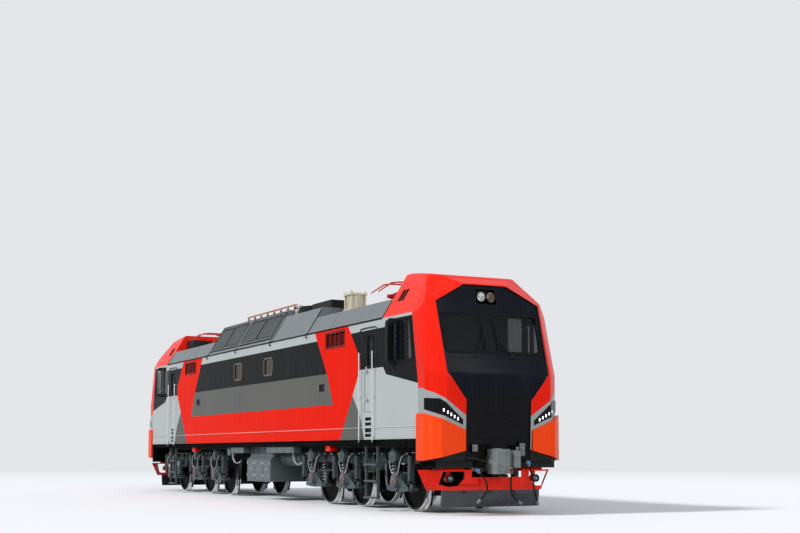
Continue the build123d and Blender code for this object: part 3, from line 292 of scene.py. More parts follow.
def add_weather(paint, colour, dust=0.25, streaks=0.12, low=0.3, high=2.2):
    """Broad tone changes, faint rain streaks down the sheet and dust near the ground."""
    _, _, z = paint.axes()
    tone = paint.patches((0.7, 3.0), 0.3, 0.7, 0.0, 0.06)
    colour = paint.mix(tone, colour, srgb(30, 30, 30))
    runs = paint.noise(9.0, 3.0, (1.0, 1.0, 0.05))
    runs = paint.ramp(runs, 0.52, 0.72, 0.0, streaks)
    colour = paint.mix(runs, colour, srgb(150, 150, 145))
    grime = paint.ramp(z, high, low)
    spots = paint.patches((6.0, 5.0), 0.35, 0.7, 0.3, 1.0)
    return paint.mix(paint.both(grime, spots, dust), colour, DUST)


def sheet_bump(paint, amount=0.25):
    """Slight waviness of painted sheet steel, with a fine orange-peel grain."""
    wave = paint.noise(1.6, 2.0)
    grain = paint.noise(160.0, 2.0)
    height = paint.maths("ADD", wave, paint.both(grain, 0.05))
    paint.bump(height, amount, 0.006)


def line_inside(paint, colour):
    """Faces that look towards the middle of the nearest cab are lining, darkened as painted shade inside the
    cab.
    """
    x, y, z = paint.axes()
    facing = paint.node("ShaderNodeSeparateXYZ")
    paint.plug(facing.inputs[0], paint.node("ShaderNodeTexCoord").outputs["Normal"])
    ahead = paint.maths("MULTIPLY", paint.maths("SUBTRACT", paint.maths("ABSOLUTE", x), CAB_MIDDLE_X),
                        paint.maths("SIGN", x))
    sums = None
    for place, name in ((ahead, "X"), (y, "Y"), (paint.maths("SUBTRACT", z, CAB_MIDDLE_Z), "Z")):
        part = paint.both(place, facing.outputs[name])
        sums = part if sums is None else paint.maths("ADD", sums, part)
    return paint.mix(paint.below(sums, -0.05), colour, LINING_AND_SHADE)


def make_cab_roof_paint():
    """Red enamel outside and dark lining inside."""
    paint = Finish("cab_roof_red", RED, 0.28, specular=0.08)
    paint.set("Base Color", line_inside(paint, add_weather(paint, RED, 0.06, 0.03)))
    sheet_bump(paint, 0.10)
    return paint.material


def make_body_paint(name, painted_highlight=0.0):
    """Side livery by zones of length and height, the same on both sides and both ends, lightened all over if
    asked as a painted highlight.
    """
    paint = Finish(name, LIGHT_GREY, 0.3, specular=0.010)
    x, _, z = paint.axes()
    along = paint.maths("ABSOLUTE", x)
    height = paint.maths("SUBTRACT", z, RAIL_TOP)

    # The inner and outer edges of the red band, as places along the body at each height
    top_left = paint.slant(height, -0.733, 4.12, 4.43)
    low_left = paint.slant(height, -0.50, 3.07, 5.20)
    inner = paint.maths("MINIMUM", top_left, low_left)
    upper_right = paint.slant(height, -0.829, 4.12, 6.41)
    lower_right = paint.slant(height, 0.71, 1.53, 5.96)
    outer = paint.maths("MINIMUM", paint.maths("SMOOTH_MIN", upper_right, lower_right, 0.22), 7.07)
    inside = paint.below(along, inner)
    outside = paint.above(along, outer)
    belt = paint.below(height, BELT_Z)
    red_zone = paint.both(paint.without(outside), paint.either(belt, paint.without(inside)))

    # The grey wedge between the red band and the doors, near the sill
    wedge_a = paint.slant(height, -0.8636, 2.49, 6.69)
    wedge_b = paint.slant(height, -0.434, 2.05, 7.07)
    wedge = paint.both(paint.below(along, paint.maths("MINIMUM", wedge_a, wedge_b)),
                       paint.below(height, 2.51))

    # The dark and grey fields between the bands, and the dark window field of each cab
    middle_dark = paint.both(inside, paint.above(height, GREY_TOP_Z), paint.below(height, DARK_TOP_Z))
    middle_grey = paint.both(inside, paint.below(height, GREY_TOP_Z))
    step = paint.slant(along, -1.143, 8.26, 3.07)
    sweep = paint.slant(along, -0.173, 8.40, 2.91)
    cab_low = paint.maths("SMOOTH_MIN", 3.075, paint.maths("SMOOTH_MAX", step, sweep, 0.05), 0.05)
    cab_top = paint.ramp(along, 8.33, 8.40, 3.93, 4.07)
    cab_dark = paint.both(outside, paint.above(height, cab_low), paint.below(height, cab_top))
    dark = paint.either(middle_dark, cab_dark)

    colour = paint.mix(wedge, LIGHT_GREY, MID_GREY)
    colour = paint.mix(middle_grey, colour, MID_GREY)
    colour = paint.mix(dark, colour, GLOSS_GREY)
    colour = paint.mix(red_zone, colour, RED)
    # Lightening towards near white: a painted highlight, for the moulding whose top edge catches the light.
    colour = paint.mix(painted_highlight, colour, srgb(236, 236, 232))
    colour = add_weather(paint, colour, 0.07, 0.035)
    seams = None
    for place in SHEET_SEAMS:
        thin = paint.near(along, place, SEAM_REACH)
        seams = thin if seams is None else paint.either(seams, thin)
    # The crease line is painted shade where the sheet folds, drawn dark like the joints.
    crease_shade = paint.below(paint.maths("ABSOLUTE", paint.slant(height, 1.0, CREASE_Z, 0.0)), SEAM_REACH)
    seams = paint.either(seams, paint.both(crease_shade, paint.above(along, CREASE_FROM)))
    colour = paint.mix(paint.both(seams, 0.55), colour, srgb(35, 35, 36))
    colour = line_inside(paint, colour)
    paint.set("Base Color", colour)
    gloss = paint.mix(dark, level(0.34), level(0.10))
    paint.set("Roughness", gloss)
    sheet_bump(paint, 0.22)
    return paint.material


def make_mask_paint():
    """Red nose paint, with the grey lower corner that carries the lamp strips."""
    paint = Finish("nose_livery", RED, 0.28, specular=0.11)
    x, y, z = paint.axes()
    along = paint.maths("ABSOLUTE", x)
    across = paint.maths("ABSOLUTE", y)
    height = paint.maths("SUBTRACT", z, RAIL_TOP)
    # Lower edge of the red: along the side to the corner, then across the corner to the column
    side_edge = paint.slant(along, -0.468, 9.93, 2.63)
    front_edge = paint.slant(across, 0.71, 0.80, 2.01)
    edge = paint.maths("MINIMUM", side_edge, front_edge)
    grey_zone = paint.below(height, edge)
    colour = paint.mix(grey_zone, RED, srgb(160, 166, 168))
    colour = paint.mix(paint.below(height, 1.30), colour, srgb(24, 25, 27))
    paint.set("Base Color", line_inside(paint, add_weather(paint, colour, 0.05, 0.02)))
    sheet_bump(paint, 0.18)
    return paint.material


def make_paint(name, colour, roughness=0.32, coat=0.0, dust=0.2, streaks=0.08, wave=0.2, low=0.3, high=2.2,
               specular=0.08):
    """Enamel on sheet steel, with dust, rain streaks and slight waves."""
    paint = Finish(name, colour, roughness, coat=coat, specular=specular)
    paint.set("Base Color", add_weather(paint, colour, dust, streaks, low, high))
    rough = paint.patches((3.0, 4.0), 0.3, 0.7, roughness - 0.06, roughness + 0.10)
    paint.set("Roughness", rough)
    sheet_bump(paint, wave)
    return paint.material


def make_under_paint(name, colour, rust=0.12, dust=0.45):
    """Thick chassis paint: dusty on top faces, a little rust and oil in patches."""
    paint = Finish(name, colour, 0.55, specular=0.12)
    patches = paint.patches((5.0, 6.0), 0.45, 0.75)
    colour = paint.mix(paint.both(patches, 0.45), colour, UNDER_DARK)
    specks = paint.patches((23.0, 5.0), 0.60, 0.74, 0.0, rust)
    colour = paint.mix(specks, colour, RUST)
    geometry = paint.node("ShaderNodeNewGeometry")
    split = paint.node("ShaderNodeSeparateXYZ")
    paint.plug(split.inputs[0], geometry.outputs["Normal"])
    upward = paint.ramp(split.outputs["Z"], 0.3, 1.0, 0.0, dust)
    fine = paint.patches((40.0, 4.0), 0.3, 0.7, 0.5, 1.0)
    paint.set("Base Color", paint.mix(paint.both(upward, fine), colour, DUST))
    paint.set("Roughness", paint.patches((12.0, 4.0), 0.3, 0.7, 0.42, 0.72))
    paint.bump(paint.noise(70.0, 4.0), 0.25, 0.002)
    return paint.material


def make_wheel_steel(name, axle_x):
    """Forged wheel: bright worn tread and flange, a dusty brown-grey web, darkened as painted shade behind
    the bogie frame.
    """
    steel = Finish(name, srgb(110, 106, 100), 0.5, metallic=0.6, specular=0.08)
    x, _, z = steel.axes()
    dx = steel.maths("SUBTRACT", x, axle_x)
    dz = steel.maths("SUBTRACT", z, AXLE_Z)
    radius = steel.maths("SQRT", steel.maths("ADD", steel.maths("MULTIPLY", dx, dx),
                                             steel.maths("MULTIPLY", dz, dz)))
    tread = steel.ramp(radius, TREAD_RADIUS, TREAD_RADIUS + 0.010)
    rim = steel.ramp(radius, RIM_RADIUS, RIM_RADIUS + 0.011)
    worn = steel.noise(18.0, 4.0)
    # The web is near black: painted shade behind the bogie frame, with dusty patches.
    web_and_shade = steel.mix(steel.ramp(worn, 0.35, 0.7), srgb(17, 17, 18), srgb(38, 36, 34))
    ring = steel.mix(steel.ramp(worn, 0.3, 0.7), srgb(52, 52, 52), srgb(40, 39, 38))
    colour = steel.mix(rim, web_and_shade, ring)
    colour = steel.mix(tread, colour, srgb(232, 232, 230))
    steel.set("Base Color", colour)
    steel.set("Roughness", steel.mix(tread, level(0.66), level(0.17)))
    steel.set("Metallic", steel.ramp(radius, 0.54, 0.62, 0.05, 0.95))
    steel.bump(steel.noise(90.0, 3.0), 0.2, 0.001)
    return steel.material


def make_metal(name, colour, roughness=0.35, metallic=0.9, rough_noise=30.0):
    """Bare or thinly painted metal, worn in patches."""
    metal = Finish(name, colour, roughness, metallic=metallic)
    worn = metal.patches((rough_noise, 4.0), 0.3, 0.7, 0.0, 0.25)
    metal.set("Base Color", metal.mix(worn, colour, srgb(60, 58, 55)))
    metal.set("Roughness", metal.patches((rough_noise * 2, 3.0), 0.3, 0.7, roughness - 0.08,
                                         roughness + 0.12))
    metal.bump(metal.noise(140.0, 2.0), 0.15, 0.001)
    return metal.material


# The rails and ladders change from bright to dusty between these heights in the frame
STEP_Z, SILL_Z = 1.50, 1.56


def make_rail_steel():
    """Bright handrails above the sill; dusty dark ladders below it."""
    metal = Finish("rail_steel", srgb(210, 212, 212), 0.28, metallic=0.9)
    _, _, z = metal.axes()
    low = metal.ramp(z, SILL_Z, STEP_Z)
    worn = metal.patches((16.0, 4.0), 0.35, 0.7, 0.0, 0.3)
    bright = metal.mix(worn, srgb(214, 216, 216), srgb(120, 122, 122))
    dusty = metal.mix(worn, srgb(62, 70, 73), srgb(92, 96, 96))
    metal.set("Base Color", metal.mix(low, bright, dusty))
    metal.set("Metallic", metal.ramp(z, STEP_Z, SILL_Z, 0.1, 0.9))
    metal.set("Roughness", metal.ramp(z, STEP_Z, SILL_Z, 0.6, 0.28))
    metal.bump(metal.noise(140.0, 2.0), 0.15, 0.001)
    return metal.material


def make_plastic(name, colour, roughness=0.5, coat=0.0, grain=220.0):
    """Moulded plastic, rubber or cloth, by its gloss and its grain."""
    plastic = Finish(name, colour, roughness, coat=coat, specular=0.1)
    tone = plastic.patches((4.0, 4.0), 0.3, 0.7, 0.0, 0.07)
    plastic.set("Base Color", plastic.mix(tone, colour, srgb(74, 74, 74)))
    plastic.bump(plastic.noise(grain, 2.0), 0.2, 0.0008)
    return plastic.material


# Joints across the nose moulding, as heights above the rail
PANEL_SEAMS = (2.40, 3.26, 4.15)


def make_black_panel():
    """Glossy dark nose moulding, blue-black above the edge where the duller column starts."""
    panel = Finish("nose_black", PANEL_BLACK, 0.16, specular=0.09)
    _, _, z = panel.axes()
    height = panel.maths("SUBTRACT", z, RAIL_TOP)
    column = panel.ramp(height, 2.42, 2.36)
    colour = panel.mix(column, PANEL_BLACK, srgb(13, 13, 15))
    # Lighter blue-grey patches: partly smears, partly a painted sheen of reflections on the gloss.
    smears_and_sheen = panel.patches((2.4, 4.0, (1.0, 1.0, 0.4)), 0.5, 0.75, 0.0, 0.06)
    colour = panel.mix(smears_and_sheen, colour, srgb(70, 74, 84))
    for seam in PANEL_SEAMS:
        colour = panel.mix(panel.near(height, seam, 0.005), colour, srgb(8, 8, 9))
    panel.set("Base Color", colour)
    panel.set("Roughness", panel.mix(column, level(0.14), level(0.38)))
    sheet_bump(panel, 0.12)
    return panel.material


def make_grille_paint():
    """Dark red in the upper grilles, black in the small lower ones."""
    paint = Finish("grille_paint", DEEP_RED, 0.4, specular=0.1)
    _, _, z = paint.axes()
    small = paint.ramp(z, 3.2, 3.1)
    colour = paint.mix(small, DEEP_RED, srgb(28, 28, 30))
    paint.set("Base Color", add_weather(paint, colour, 0.0, 0.12))
    return paint.material


def make_glass(name, colour, alpha, roughness=0.29):
    """Tinted pane that still lets the cab show through."""
    glass = Finish(name, colour, roughness, specular=0.2)
    glass.set("Alpha", alpha)
    haze = glass.patches((1.5, 3.0), 0.4, 0.7, roughness - 0.03, roughness + 0.03)
    glass.set("Roughness", haze)
    return glass.material


def make_lens(name, colour, glow=0.0, alpha=1.0):
    """A faceted lamp glass, lit if it has a glow."""
    lens = Finish(name, colour, 0.08)
    lens.set("Alpha", alpha)
    facets = lens.node("ShaderNodeTexVoronoi")
    lens.plug(facets.inputs["Vector"], lens.place())
    facets.inputs["Scale"].default_value = 60.0
    lens.bump(facets.outputs["Distance"], 0.3, 0.002)
    if glow:
        lens.set("Emission Color", colour)
        lens.set("Emission Strength", glow)
    return lens.material


def make_mesh_wire():
    """Grey wire of the roof hatches."""
    wire = Finish("hatch_wire", srgb(118, 124, 126), 0.5, metallic=0.2, specular=0.2)
    wire.set("Base Color", wire.mix(wire.patches((14.0,), 0.3, 0.7, 0.0, 0.5), srgb(124, 130, 132),
                                    srgb(92, 96, 98)))
    return wire.material


def make_coil_finish():
    """Varnished glass-fibre battens, streaked along their length."""
    coil = Finish("coil_fibre", srgb(205, 198, 172), 0.45, coat=0.2)
    bands = coil.patches((20.0, 3.0, (1.0, 1.0, 0.1)), 0.35, 0.7, 0.0, 0.35)
    coil.set("Base Color", coil.mix(bands, srgb(212, 206, 182), srgb(150, 140, 108)))
    coil.bump(coil.noise(60.0), 0.2, 0.001)
    return coil.material


body_livery = make_body_paint("body_livery")
# The moulding's livery is lightened: a painted highlight along its lit top edge.
moulding_highlight_livery = make_body_paint("moulding_highlight_livery", 0.30)
nose_livery = make_mask_paint()
cab_roof_paint = make_cab_roof_paint()
red_low = make_paint("red_enamel_low", RED, 0.32, 0.0, 0.22, low=0.2, high=1.2)
deep_red = make_paint("deep_red_enamel", DEEP_RED, 0.4, 0.0, 0.1)
grille_paint = make_grille_paint()
orange_paint = make_paint("bumper_orange", ORANGE, 0.30, 0.0, 0.08, high=1.4)
roof_paint = make_paint("roof_grey", ROOF, 0.42, 0.1, 0.0, 0.10, low=-1.0, high=0.0)
light_paint = make_paint("light_grey_enamel", LIGHT_GREY, 0.32, 0.2, 0.1)
under_grey = make_under_paint("chassis_grey", UNDER_GREY)
under_dark = make_under_paint("chassis_dark", UNDER_DARK, 0.06)
box_grey = make_paint("box_grey", srgb(98, 110, 113), 0.42, 0.1, 0.3, high=1.4)
clearer_paint = make_paint("clearer_dark", srgb(38, 43, 54), 0.20, 0.5, 0.10, 0.04, high=0.6, specular=0.4)
# Near-black sill under the livery's bottom edge: painted shade, darker than the chassis paint.
sill_shade_paint = make_paint("sill_black_and_shade", srgb(13, 13, 14), 0.5, 0.0, 0.06, 0.02, specular=0.0)
# A shaded copy of the chassis grey: the bogie frame behind the boxes and springs is painted darker as shade.
bogie_frame_shade = make_under_paint("bogie_frame_grey_and_shade", srgb(47, 53, 56), 0.08, 0.3)
black_panel = make_black_panel()
black_plastic = make_plastic("black_moulding", srgb(26, 27, 29), 0.45)
black_gloss = make_plastic("black_gloss_cover", srgb(14, 14, 16), 0.18, 0.0, 40.0)
black_rubber = make_plastic("black_rubber", srgb(16, 17, 19), 0.75)
hose_rubber = make_plastic("hose_rubber", srgb(28, 28, 29), 0.62)
spring_paint = make_metal("spring_grey", srgb(120, 127, 130), 0.42, 0.3)
damper_paint = make_under_paint("damper_grey", srgb(78, 86, 89), 0.06, 0.3)
steel = make_metal("satin_steel", srgb(206, 208, 208), 0.28)
rail_steel = make_rail_steel()
cast_grey = make_under_paint("cast_grey", srgb(126, 132, 132), 0.10, 0.3)
cast_brown = make_under_paint("cast_brown", srgb(132, 108, 104), 0.15, 0.2)
rim_bronze = make_metal("rim_bronze", srgb(120, 104, 84), 0.35)
cock_blue = make_paint("cock_blue", srgb(70, 140, 215), 0.35, 0.3, 0.1)
cock_red = make_paint("cock_red", srgb(205, 40, 32), 0.35, 0.3, 0.1)
copper = make_metal("copper_bar", srgb(190, 110, 78), 0.4)
brass = make_metal("brass_frame", srgb(196, 164, 92), 0.4)
pantograph_red = make_paint("pantograph_red", srgb(205, 44, 38), 0.38, 0.2, 0.05)
fin_grey = make_paint("fin_grey", srgb(84, 90, 94), 0.5, low=-1.0, high=0.0)
carbon = make_plastic("carbon_strip", srgb(40, 40, 43), 0.6)
white_ceramic = make_plastic("white_ceramic", srgb(226, 224, 218), 0.2, 0.4, 30.0)
red_ceramic = make_plastic("red_ceramic", srgb(160, 60, 50), 0.22, 0.4, 30.0)
# The cab's desk tops and rear lining are dark blue-grey, darkened as painted shade inside the cab.
cab_plastic_and_shade = make_plastic("cab_lining_and_shade", srgb(27, 33, 39), 0.8, 0.0, 12.0)
curtain_cloth = make_plastic("curtain_cloth", srgb(238, 240, 238), 0.9, 0.0, 300.0)
desk_plastic = make_plastic("desk_grey", srgb(62, 66, 72), 0.5)
seat_cloth = make_plastic("seat_cloth", srgb(52, 60, 84), 0.9, 0.0, 500.0)
window_glass = make_glass("window_glass", srgb(8, 15, 24), 0.46)
port_glass = make_glass("porthole_glass", srgb(40, 29, 22), 0.94)
mirror_glass = make_metal("mirror_glass", srgb(210, 214, 218), 0.14, 1.0)
lamp_lens = make_lens("lamp_lens", srgb(205, 210, 212), alpha=0.22)
plough_lens = make_lens("plough_lens", srgb(58, 62, 68))
amber_lens = make_lens("amber_lens", srgb(96, 66, 44), alpha=0.85)
led_lens = make_lens("led_lens", srgb(250, 252, 255), 1.2)
reflector = make_metal("reflector", srgb(225, 225, 222), 0.18, 1.0)
mesh_wire = make_mesh_wire()
coil_fibre = make_coil_finish()
make_hoses(hose_rubber)

NODE_FINISHES = {
    "cab_walls": body_livery, "machine_room_walls": body_livery, "cab_roofs": cab_roof_paint,
    "cab_masks": nose_livery, "cab_panels": black_panel, "cab_glass": window_glass,
    "bumpers": orange_paint, "ploughs": red_low, "track_clearers": clearer_paint,
    "underframe": sill_shade_paint, "jacking_brackets": red_low, "battery_box_and_ducts": box_grey,
    "machine_room_roof": roof_paint, "low_roof_decks": roof_paint, "roof_mesh_hatches": roof_paint,
    "roof_boxes": black_plastic, "roof_busbars": copper, "roof_choke_coil": coil_fibre,
    "side_grilles": grille_paint, "lamps": black_gloss, "rear_view_mirrors": black_plastic,
    "handrails_and_ladders": rail_steel, "hose_fittings": cast_grey, "couplers": cast_grey,
    "cab_desks_and_seats": desk_plastic, "machine_room_equipment": under_dark,
    "pantograph_bases": pantograph_red,
}
for end_name, end in ENDS:
    for side_name, _ in SIDES:
        NODE_FINISHES[f"{end_name}_{side_name}_door"] = body_livery
    for part in ("lower_arm", "upper_arm", "head"):
        NODE_FINISHES[f"{end_name}_pantograph_{part}"] = pantograph_red
    NODE_FINISHES[f"{end_name}_bogie_frame"] = bogie_frame_shade
    NODE_FINISHES[f"{end_name}_axleboxes_and_brakes"] = under_grey
    NODE_FINISHES[f"{end_name}_springs"] = spring_paint
    NODE_FINISHES[f"{end_name}_traction_motors"] = under_dark
    for number, axle in enumerate(AXLES, start=1):
        steel_name = f"{end_name}_wheel_steel_{number}"
        NODE_FINISHES[f"{end_name}_wheelset_{number}"] = make_wheel_steel(steel_name, end * axle)

for name, finish in NODE_FINISHES.items():
    node = nodes[name]
    if not node.material_slots:
        node.data.materials.append(finish)
    for place in node.material_slots:
        place.material = finish


# Shape helpers: each adds a solid form to a shape that is under way


def up(rise):
    """A step straight up."""
    return Vector((0, 0, rise))


def new_shapes(count):
    """Empty shapes to build on, one for each finish."""
    return [bmesh.new() for _ in range(count)]


def rectangle(place, left, right, low, high, proud=0.0):
    """Four corners on a surface, between two places along it and two heights on it."""
    return [place(left, low, proud), place(right, low, proud), place(right, high, proud),
            place(left, high, proud)]


def add_block(shape, middle, size, turn=None, round_by=0.0, segments=1):
    """A block by its middle and size, turned if asked, with its edges rounded."""
    verts = bmesh.ops.create_cube(shape, size=1.0)["verts"]
    bmesh.ops.scale(shape, vec=size, verts=verts)
    if turn is not None:
        bmesh.ops.rotate(shape, verts=verts, matrix=turn)
    bmesh.ops.translate(shape, vec=middle, verts=verts)
    if round_by:
        edges = list({edge for vert in verts for edge in vert.link_edges})
        bmesh.ops.bevel(shape, geom=edges, offset=round_by, offset_type="OFFSET", segments=segments,
                        profile=0.5, affect="EDGES", clamp_overlap=True, material=-1)


def add_box(shape, corner, opposite, round_by=0.0, segments=1):
    """A block between two opposite corners."""
    low = Vector([min(pair) for pair in zip(corner, opposite)])
    high = Vector([max(pair) for pair in zip(corner, opposite)])
    add_block(shape, (low + high) / 2, high - low, None, round_by, segments)


def turn_to(direction):
    """The turn that takes Z to a direction."""
    return Vector(direction).to_track_quat("Z", "Y").to_matrix()


def add_rod(shape, start, end, radius, sides=12, end_radius=None):
    """A round bar between two points."""
    start, end = Vector(start), Vector(end)
    verts = bmesh.ops.create_cone(shape, cap_ends=True, segments=sides, radius1=radius, radius2=radius
                                  if end_radius is None else end_radius, depth=(end - start).length)["verts"]
    bmesh.ops.rotate(shape, verts=verts, matrix=turn_to(end - start))
    bmesh.ops.translate(shape, vec=(start + end) / 2, verts=verts)


def join_into(shape, part):
    """Adds a part that was made apart to the whole shape."""
    mesh = bpy.data.meshes.new("part")
    part.to_mesh(mesh)
    part.free()
    shape.from_mesh(mesh)
    bpy.data.meshes.remove(mesh)


def add_turned(shape, middle, direction, outline, steps=20):
    """A turned form: its outline is pairs of radius and place along the axis."""
    part = bmesh.new()
    verts = [part.verts.new((radius, 0.0, along)) for radius, along in outline]
    edges = [part.edges.new(pair) for pair in zip(verts, verts[1:])]
    bmesh.ops.spin(part, geom=verts + edges, cent=(0, 0, 0), axis=(0, 0, 1), angle=math.tau, steps=steps,
                   use_merge=True, use_duplicate=False)
    bmesh.ops.remove_doubles(part, verts=part.verts, dist=1e-5)
    bmesh.ops.rotate(part, verts=part.verts, matrix=turn_to(direction))
    bmesh.ops.translate(part, vec=middle, verts=part.verts)
    join_into(shape, part)


def add_ring(shape, middle, direction, inner, outer, width, steps=24):
    """A flat ring round an axis."""
    half = width / 2
    add_turned(shape, middle, direction, ((inner, -half), (outer, -half), (outer, half), (inner, half),
                                          (inner, -half)), steps)


def add_bolts(shape, middle, direction, circle, count, radius, height, phase=0.0):
    """A circle of hexagon bolt heads round an axis."""
    turn = turn_to(direction)
    for number in range(count):
        angle = phase + math.tau * number / count
        foot = Vector(middle) + turn @ Vector((circle * math.cos(angle), circle * math.sin(angle), 0.0))
        add_rod(shape, foot, foot + turn @ up(height), radius, 6)


def flat_outline(corners, round_corners=0.0, steps=4):
    """A single flat face with its corners rounded, as a part of its own."""
    part = bmesh.new()
    verts = [part.verts.new(corner) for corner in corners]
    part.faces.new(verts)
    if round_corners:
        bmesh.ops.bevel(part, geom=verts, offset=round_corners, offset_type="OFFSET", segments=steps,
                        profile=0.5, affect="VERTICES", clamp_overlap=True, material=-1)
    part.normal_update()
    part.faces.ensure_lookup_table()
    return part


def draw_out(part, faces, thick):
    """Draws faces of a part out along a vector, into a solid."""
    drawn = bmesh.ops.extrude_face_region(part, geom=faces, use_keep_orig=True)["geom"]
    bmesh.ops.translate(part, vec=thick,
                        verts=[item for item in drawn if isinstance(item, bmesh.types.BMVert)])


def add_plate(shape, corners, thick, round_corners=0.0, steps=4, edge=0.0):
    """A flat plate drawn out along a vector, with its far edges eased if asked."""
    part = flat_outline(corners, round_corners, steps)
    draw_out(part, part.faces[:], thick)
    if edge:
        folds = [item for item in part.edges if item.calc_face_angle(0.0) > 0.9]
        bmesh.ops.bevel(part, geom=folds, offset=edge, offset_type="OFFSET", segments=1, profile=0.5,
                        affect="EDGES", clamp_overlap=True, material=-1)
    join_into(shape, part)


def add_frame(shape, corners, width, thick, round_corners=0.0, steps=4):
    """A flat frame: a band of this width inside the outline, drawn out along a vector."""
    part = flat_outline(corners, round_corners, steps)
    face = part.faces[0]
    band = bmesh.ops.inset_region(part, faces=[face], thickness=width, depth=0.0, use_even_offset=True,
                                  use_boundary=True)["faces"]
    bmesh.ops.delete(part, geom=[face], context="FACES_ONLY")
    draw_out(part, band, thick)
    join_into(shape, part)


def add_pipe(shape, points, radius, sides=8, step=5):
    """A bent pipe along a smooth line near these points."""
    curve = bpy.data.curves.new("pipe_line", "CURVE")
    curve.dimensions = "3D"
    curve.bevel_depth = radius
    curve.bevel_resolution = max(0, sides // 4 - 1)
    curve.resolution_u = step
    curve.use_fill_caps = True
    spline = curve.splines.new("NURBS")
    spline.points.add(len(points) - 1)
    for point, place in zip(spline.points, points):
        point.co = (*place, 1.0)
    spline.order_u = min(3, len(points))
    spline.use_endpoint_u = True
    line = bpy.data.objects.new("pipe_line", curve)
    bpy.context.scene.collection.objects.link(line)
    mesh = bpy.data.meshes.new_from_object(line)
    shape.from_mesh(mesh)
    bpy.data.objects.remove(line)
    bpy.data.curves.remove(curve)
    bpy.data.meshes.remove(mesh)


def add_spring(shape, foot, height, radius, wire, turns, steps=14, sides=7):
    """A coil spring standing on its foot: a round wire spun upwards."""
    part = bmesh.new()
    ring = bmesh.ops.create_circle(part, cap_ends=True, segments=sides, radius=wire)["verts"]
    bmesh.ops.rotate(part, verts=ring, matrix=Matrix.Rotation(math.pi / 2, 3, "X"))
    bmesh.ops.translate(part, vec=(radius, 0, wire), verts=ring)
    rise = (height - 2 * wire) / (turns * steps)
    bmesh.ops.spin(part, geom=part.verts[:] + part.edges[:] + part.faces[:], cent=(0, 0, 0), axis=(0, 0, 1),
                   dvec=(0, 0, rise), angle=math.tau * turns, steps=int(turns * steps), use_merge=False,
                   use_duplicate=False)
    bmesh.ops.holes_fill(part, edges=[edge for edge in part.edges if edge.is_boundary], sides=sides)
    bmesh.ops.translate(part, vec=foot, verts=part.verts)
    join_into(shape, part)


def reflect(shape, axis):
    """Adds the mirror image of all that is there: X for the other end, Y for the other side."""
    scale = Vector((1, 1, 1))
    scale["XY".index(axis)] = -1
    copied = bmesh.ops.duplicate(shape, geom=shape.verts[:] + shape.edges[:] + shape.faces[:])["geom"]
    bmesh.ops.scale(shape, vec=scale, verts=[item for item in copied if isinstance(item, bmesh.types.BMVert)])
    bmesh.ops.reverse_faces(shape, faces=[item for item in copied if isinstance(item, bmesh.types.BMFace)])


def finish_piece(name, shape, finish, body=BODY, slot="frame_grey", replaces=(), smooth=40.0, recalc=True):
    """Closes a shape into a piece of the model: its material, its shading and the body it rides on."""
    if recalc:
        bmesh.ops.recalc_face_normals(shape, faces=shape.faces)
    mesh = bpy.data.meshes.new(name)
    shape.to_mesh(mesh)
    shape.free()
    mesh.materials.append(finish)
    mesh.shade_smooth()
    mesh.set_sharp_from_angle(angle=math.radians(smooth))
    piece = bpy.data.objects.new(name, mesh)
    bpy.context.scene.collection.objects.link(piece)
    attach(piece, body)
    if replaces:
        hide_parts(*replaces)


def finish_ends(name, shape, finish, slot):
    """A piece made at the front end, given to both ends."""
    reflect(shape, "X")
    finish_piece(name, shape, finish, slot=slot)


def finish_sides(name, shape, finish, slot):
    """A piece made on the right side, given to both sides."""
    reflect(shape, "Y")
    finish_piece(name, shape, finish, slot=slot)


def finish_corners(name, shape, finish, slot):
    """A piece made on the right side of the front end, given to both sides of both ends."""
    reflect(shape, "X")
    finish_sides(name, shape, finish, slot)


# Folds of the shells between these angles, in degrees, are rounded
FOLD_FROM, FOLD_TO = 10.0, 78.0


def softened(name, node_name, radius, finish, slot):
    """A painted shell from its node: the same solid, with the folds between its faces rounded."""
    shape = bmesh.new()
    shape.from_mesh(nodes[node_name].data)
    bmesh.ops.remove_doubles(shape, verts=shape.verts, dist=1e-5)
    bmesh.ops.dissolve_limit(shape, angle_limit=math.radians(0.8), verts=shape.verts, edges=shape.edges)
    folds = [edge for edge in shape.edges if len(edge.link_faces) == 2 and edge.is_convex
             and math.radians(FOLD_FROM) < edge.calc_face_angle(0.0) < math.radians(FOLD_TO)]
    bmesh.ops.bevel(shape, geom=folds, offset=radius, offset_type="OFFSET", segments=3, profile=0.5,
                    affect="EDGES", clamp_overlap=True, material=-1)
    finish_piece(name, shape, finish, BODY, slot, (node_name,), 30.0, recalc=False)


# Nose: rounded shells, windscreen, wipers, lamps, column fittings, plough and coupler
softened("nose_shells", "cab_masks", 0.035, nose_livery, "red_paint")
softened("cab_roof_shells", "cab_roofs", 0.045, cab_roof_paint, "red_paint")
softened("bumper_shells", "bumpers", 0.030, orange_paint, "bumper_orange")

SCREEN_OUT = Vector((0.956, 0.0, 0.2934))
COLUMN_OUT = Vector((0.999, 0.0, -0.049))


def screen_place(across, height, proud=0.0):
    """On the sloped black panel of the front end: width, height above the rail, distance proud."""
    return Vector((10.3844 - 0.3069 * (rail(height) - 3.18), across, rail(height))) + SCREEN_OUT * proud


def column_place(across, height, proud=0.0):
    """On the upright black column of the front end."""
    return Vector((10.464 + 0.049 * (rail(height) - 2.03), across, rail(height))) + COLUMN_OUT * proud


def surface_at(node_name, across, height):
    """The first place and slope of a node met from ahead of the front end."""
    _, place, normal, _ = nodes[node_name].ray_cast(Vector((12.0, across, rail(height))), -AHEAD)
    return place, normal


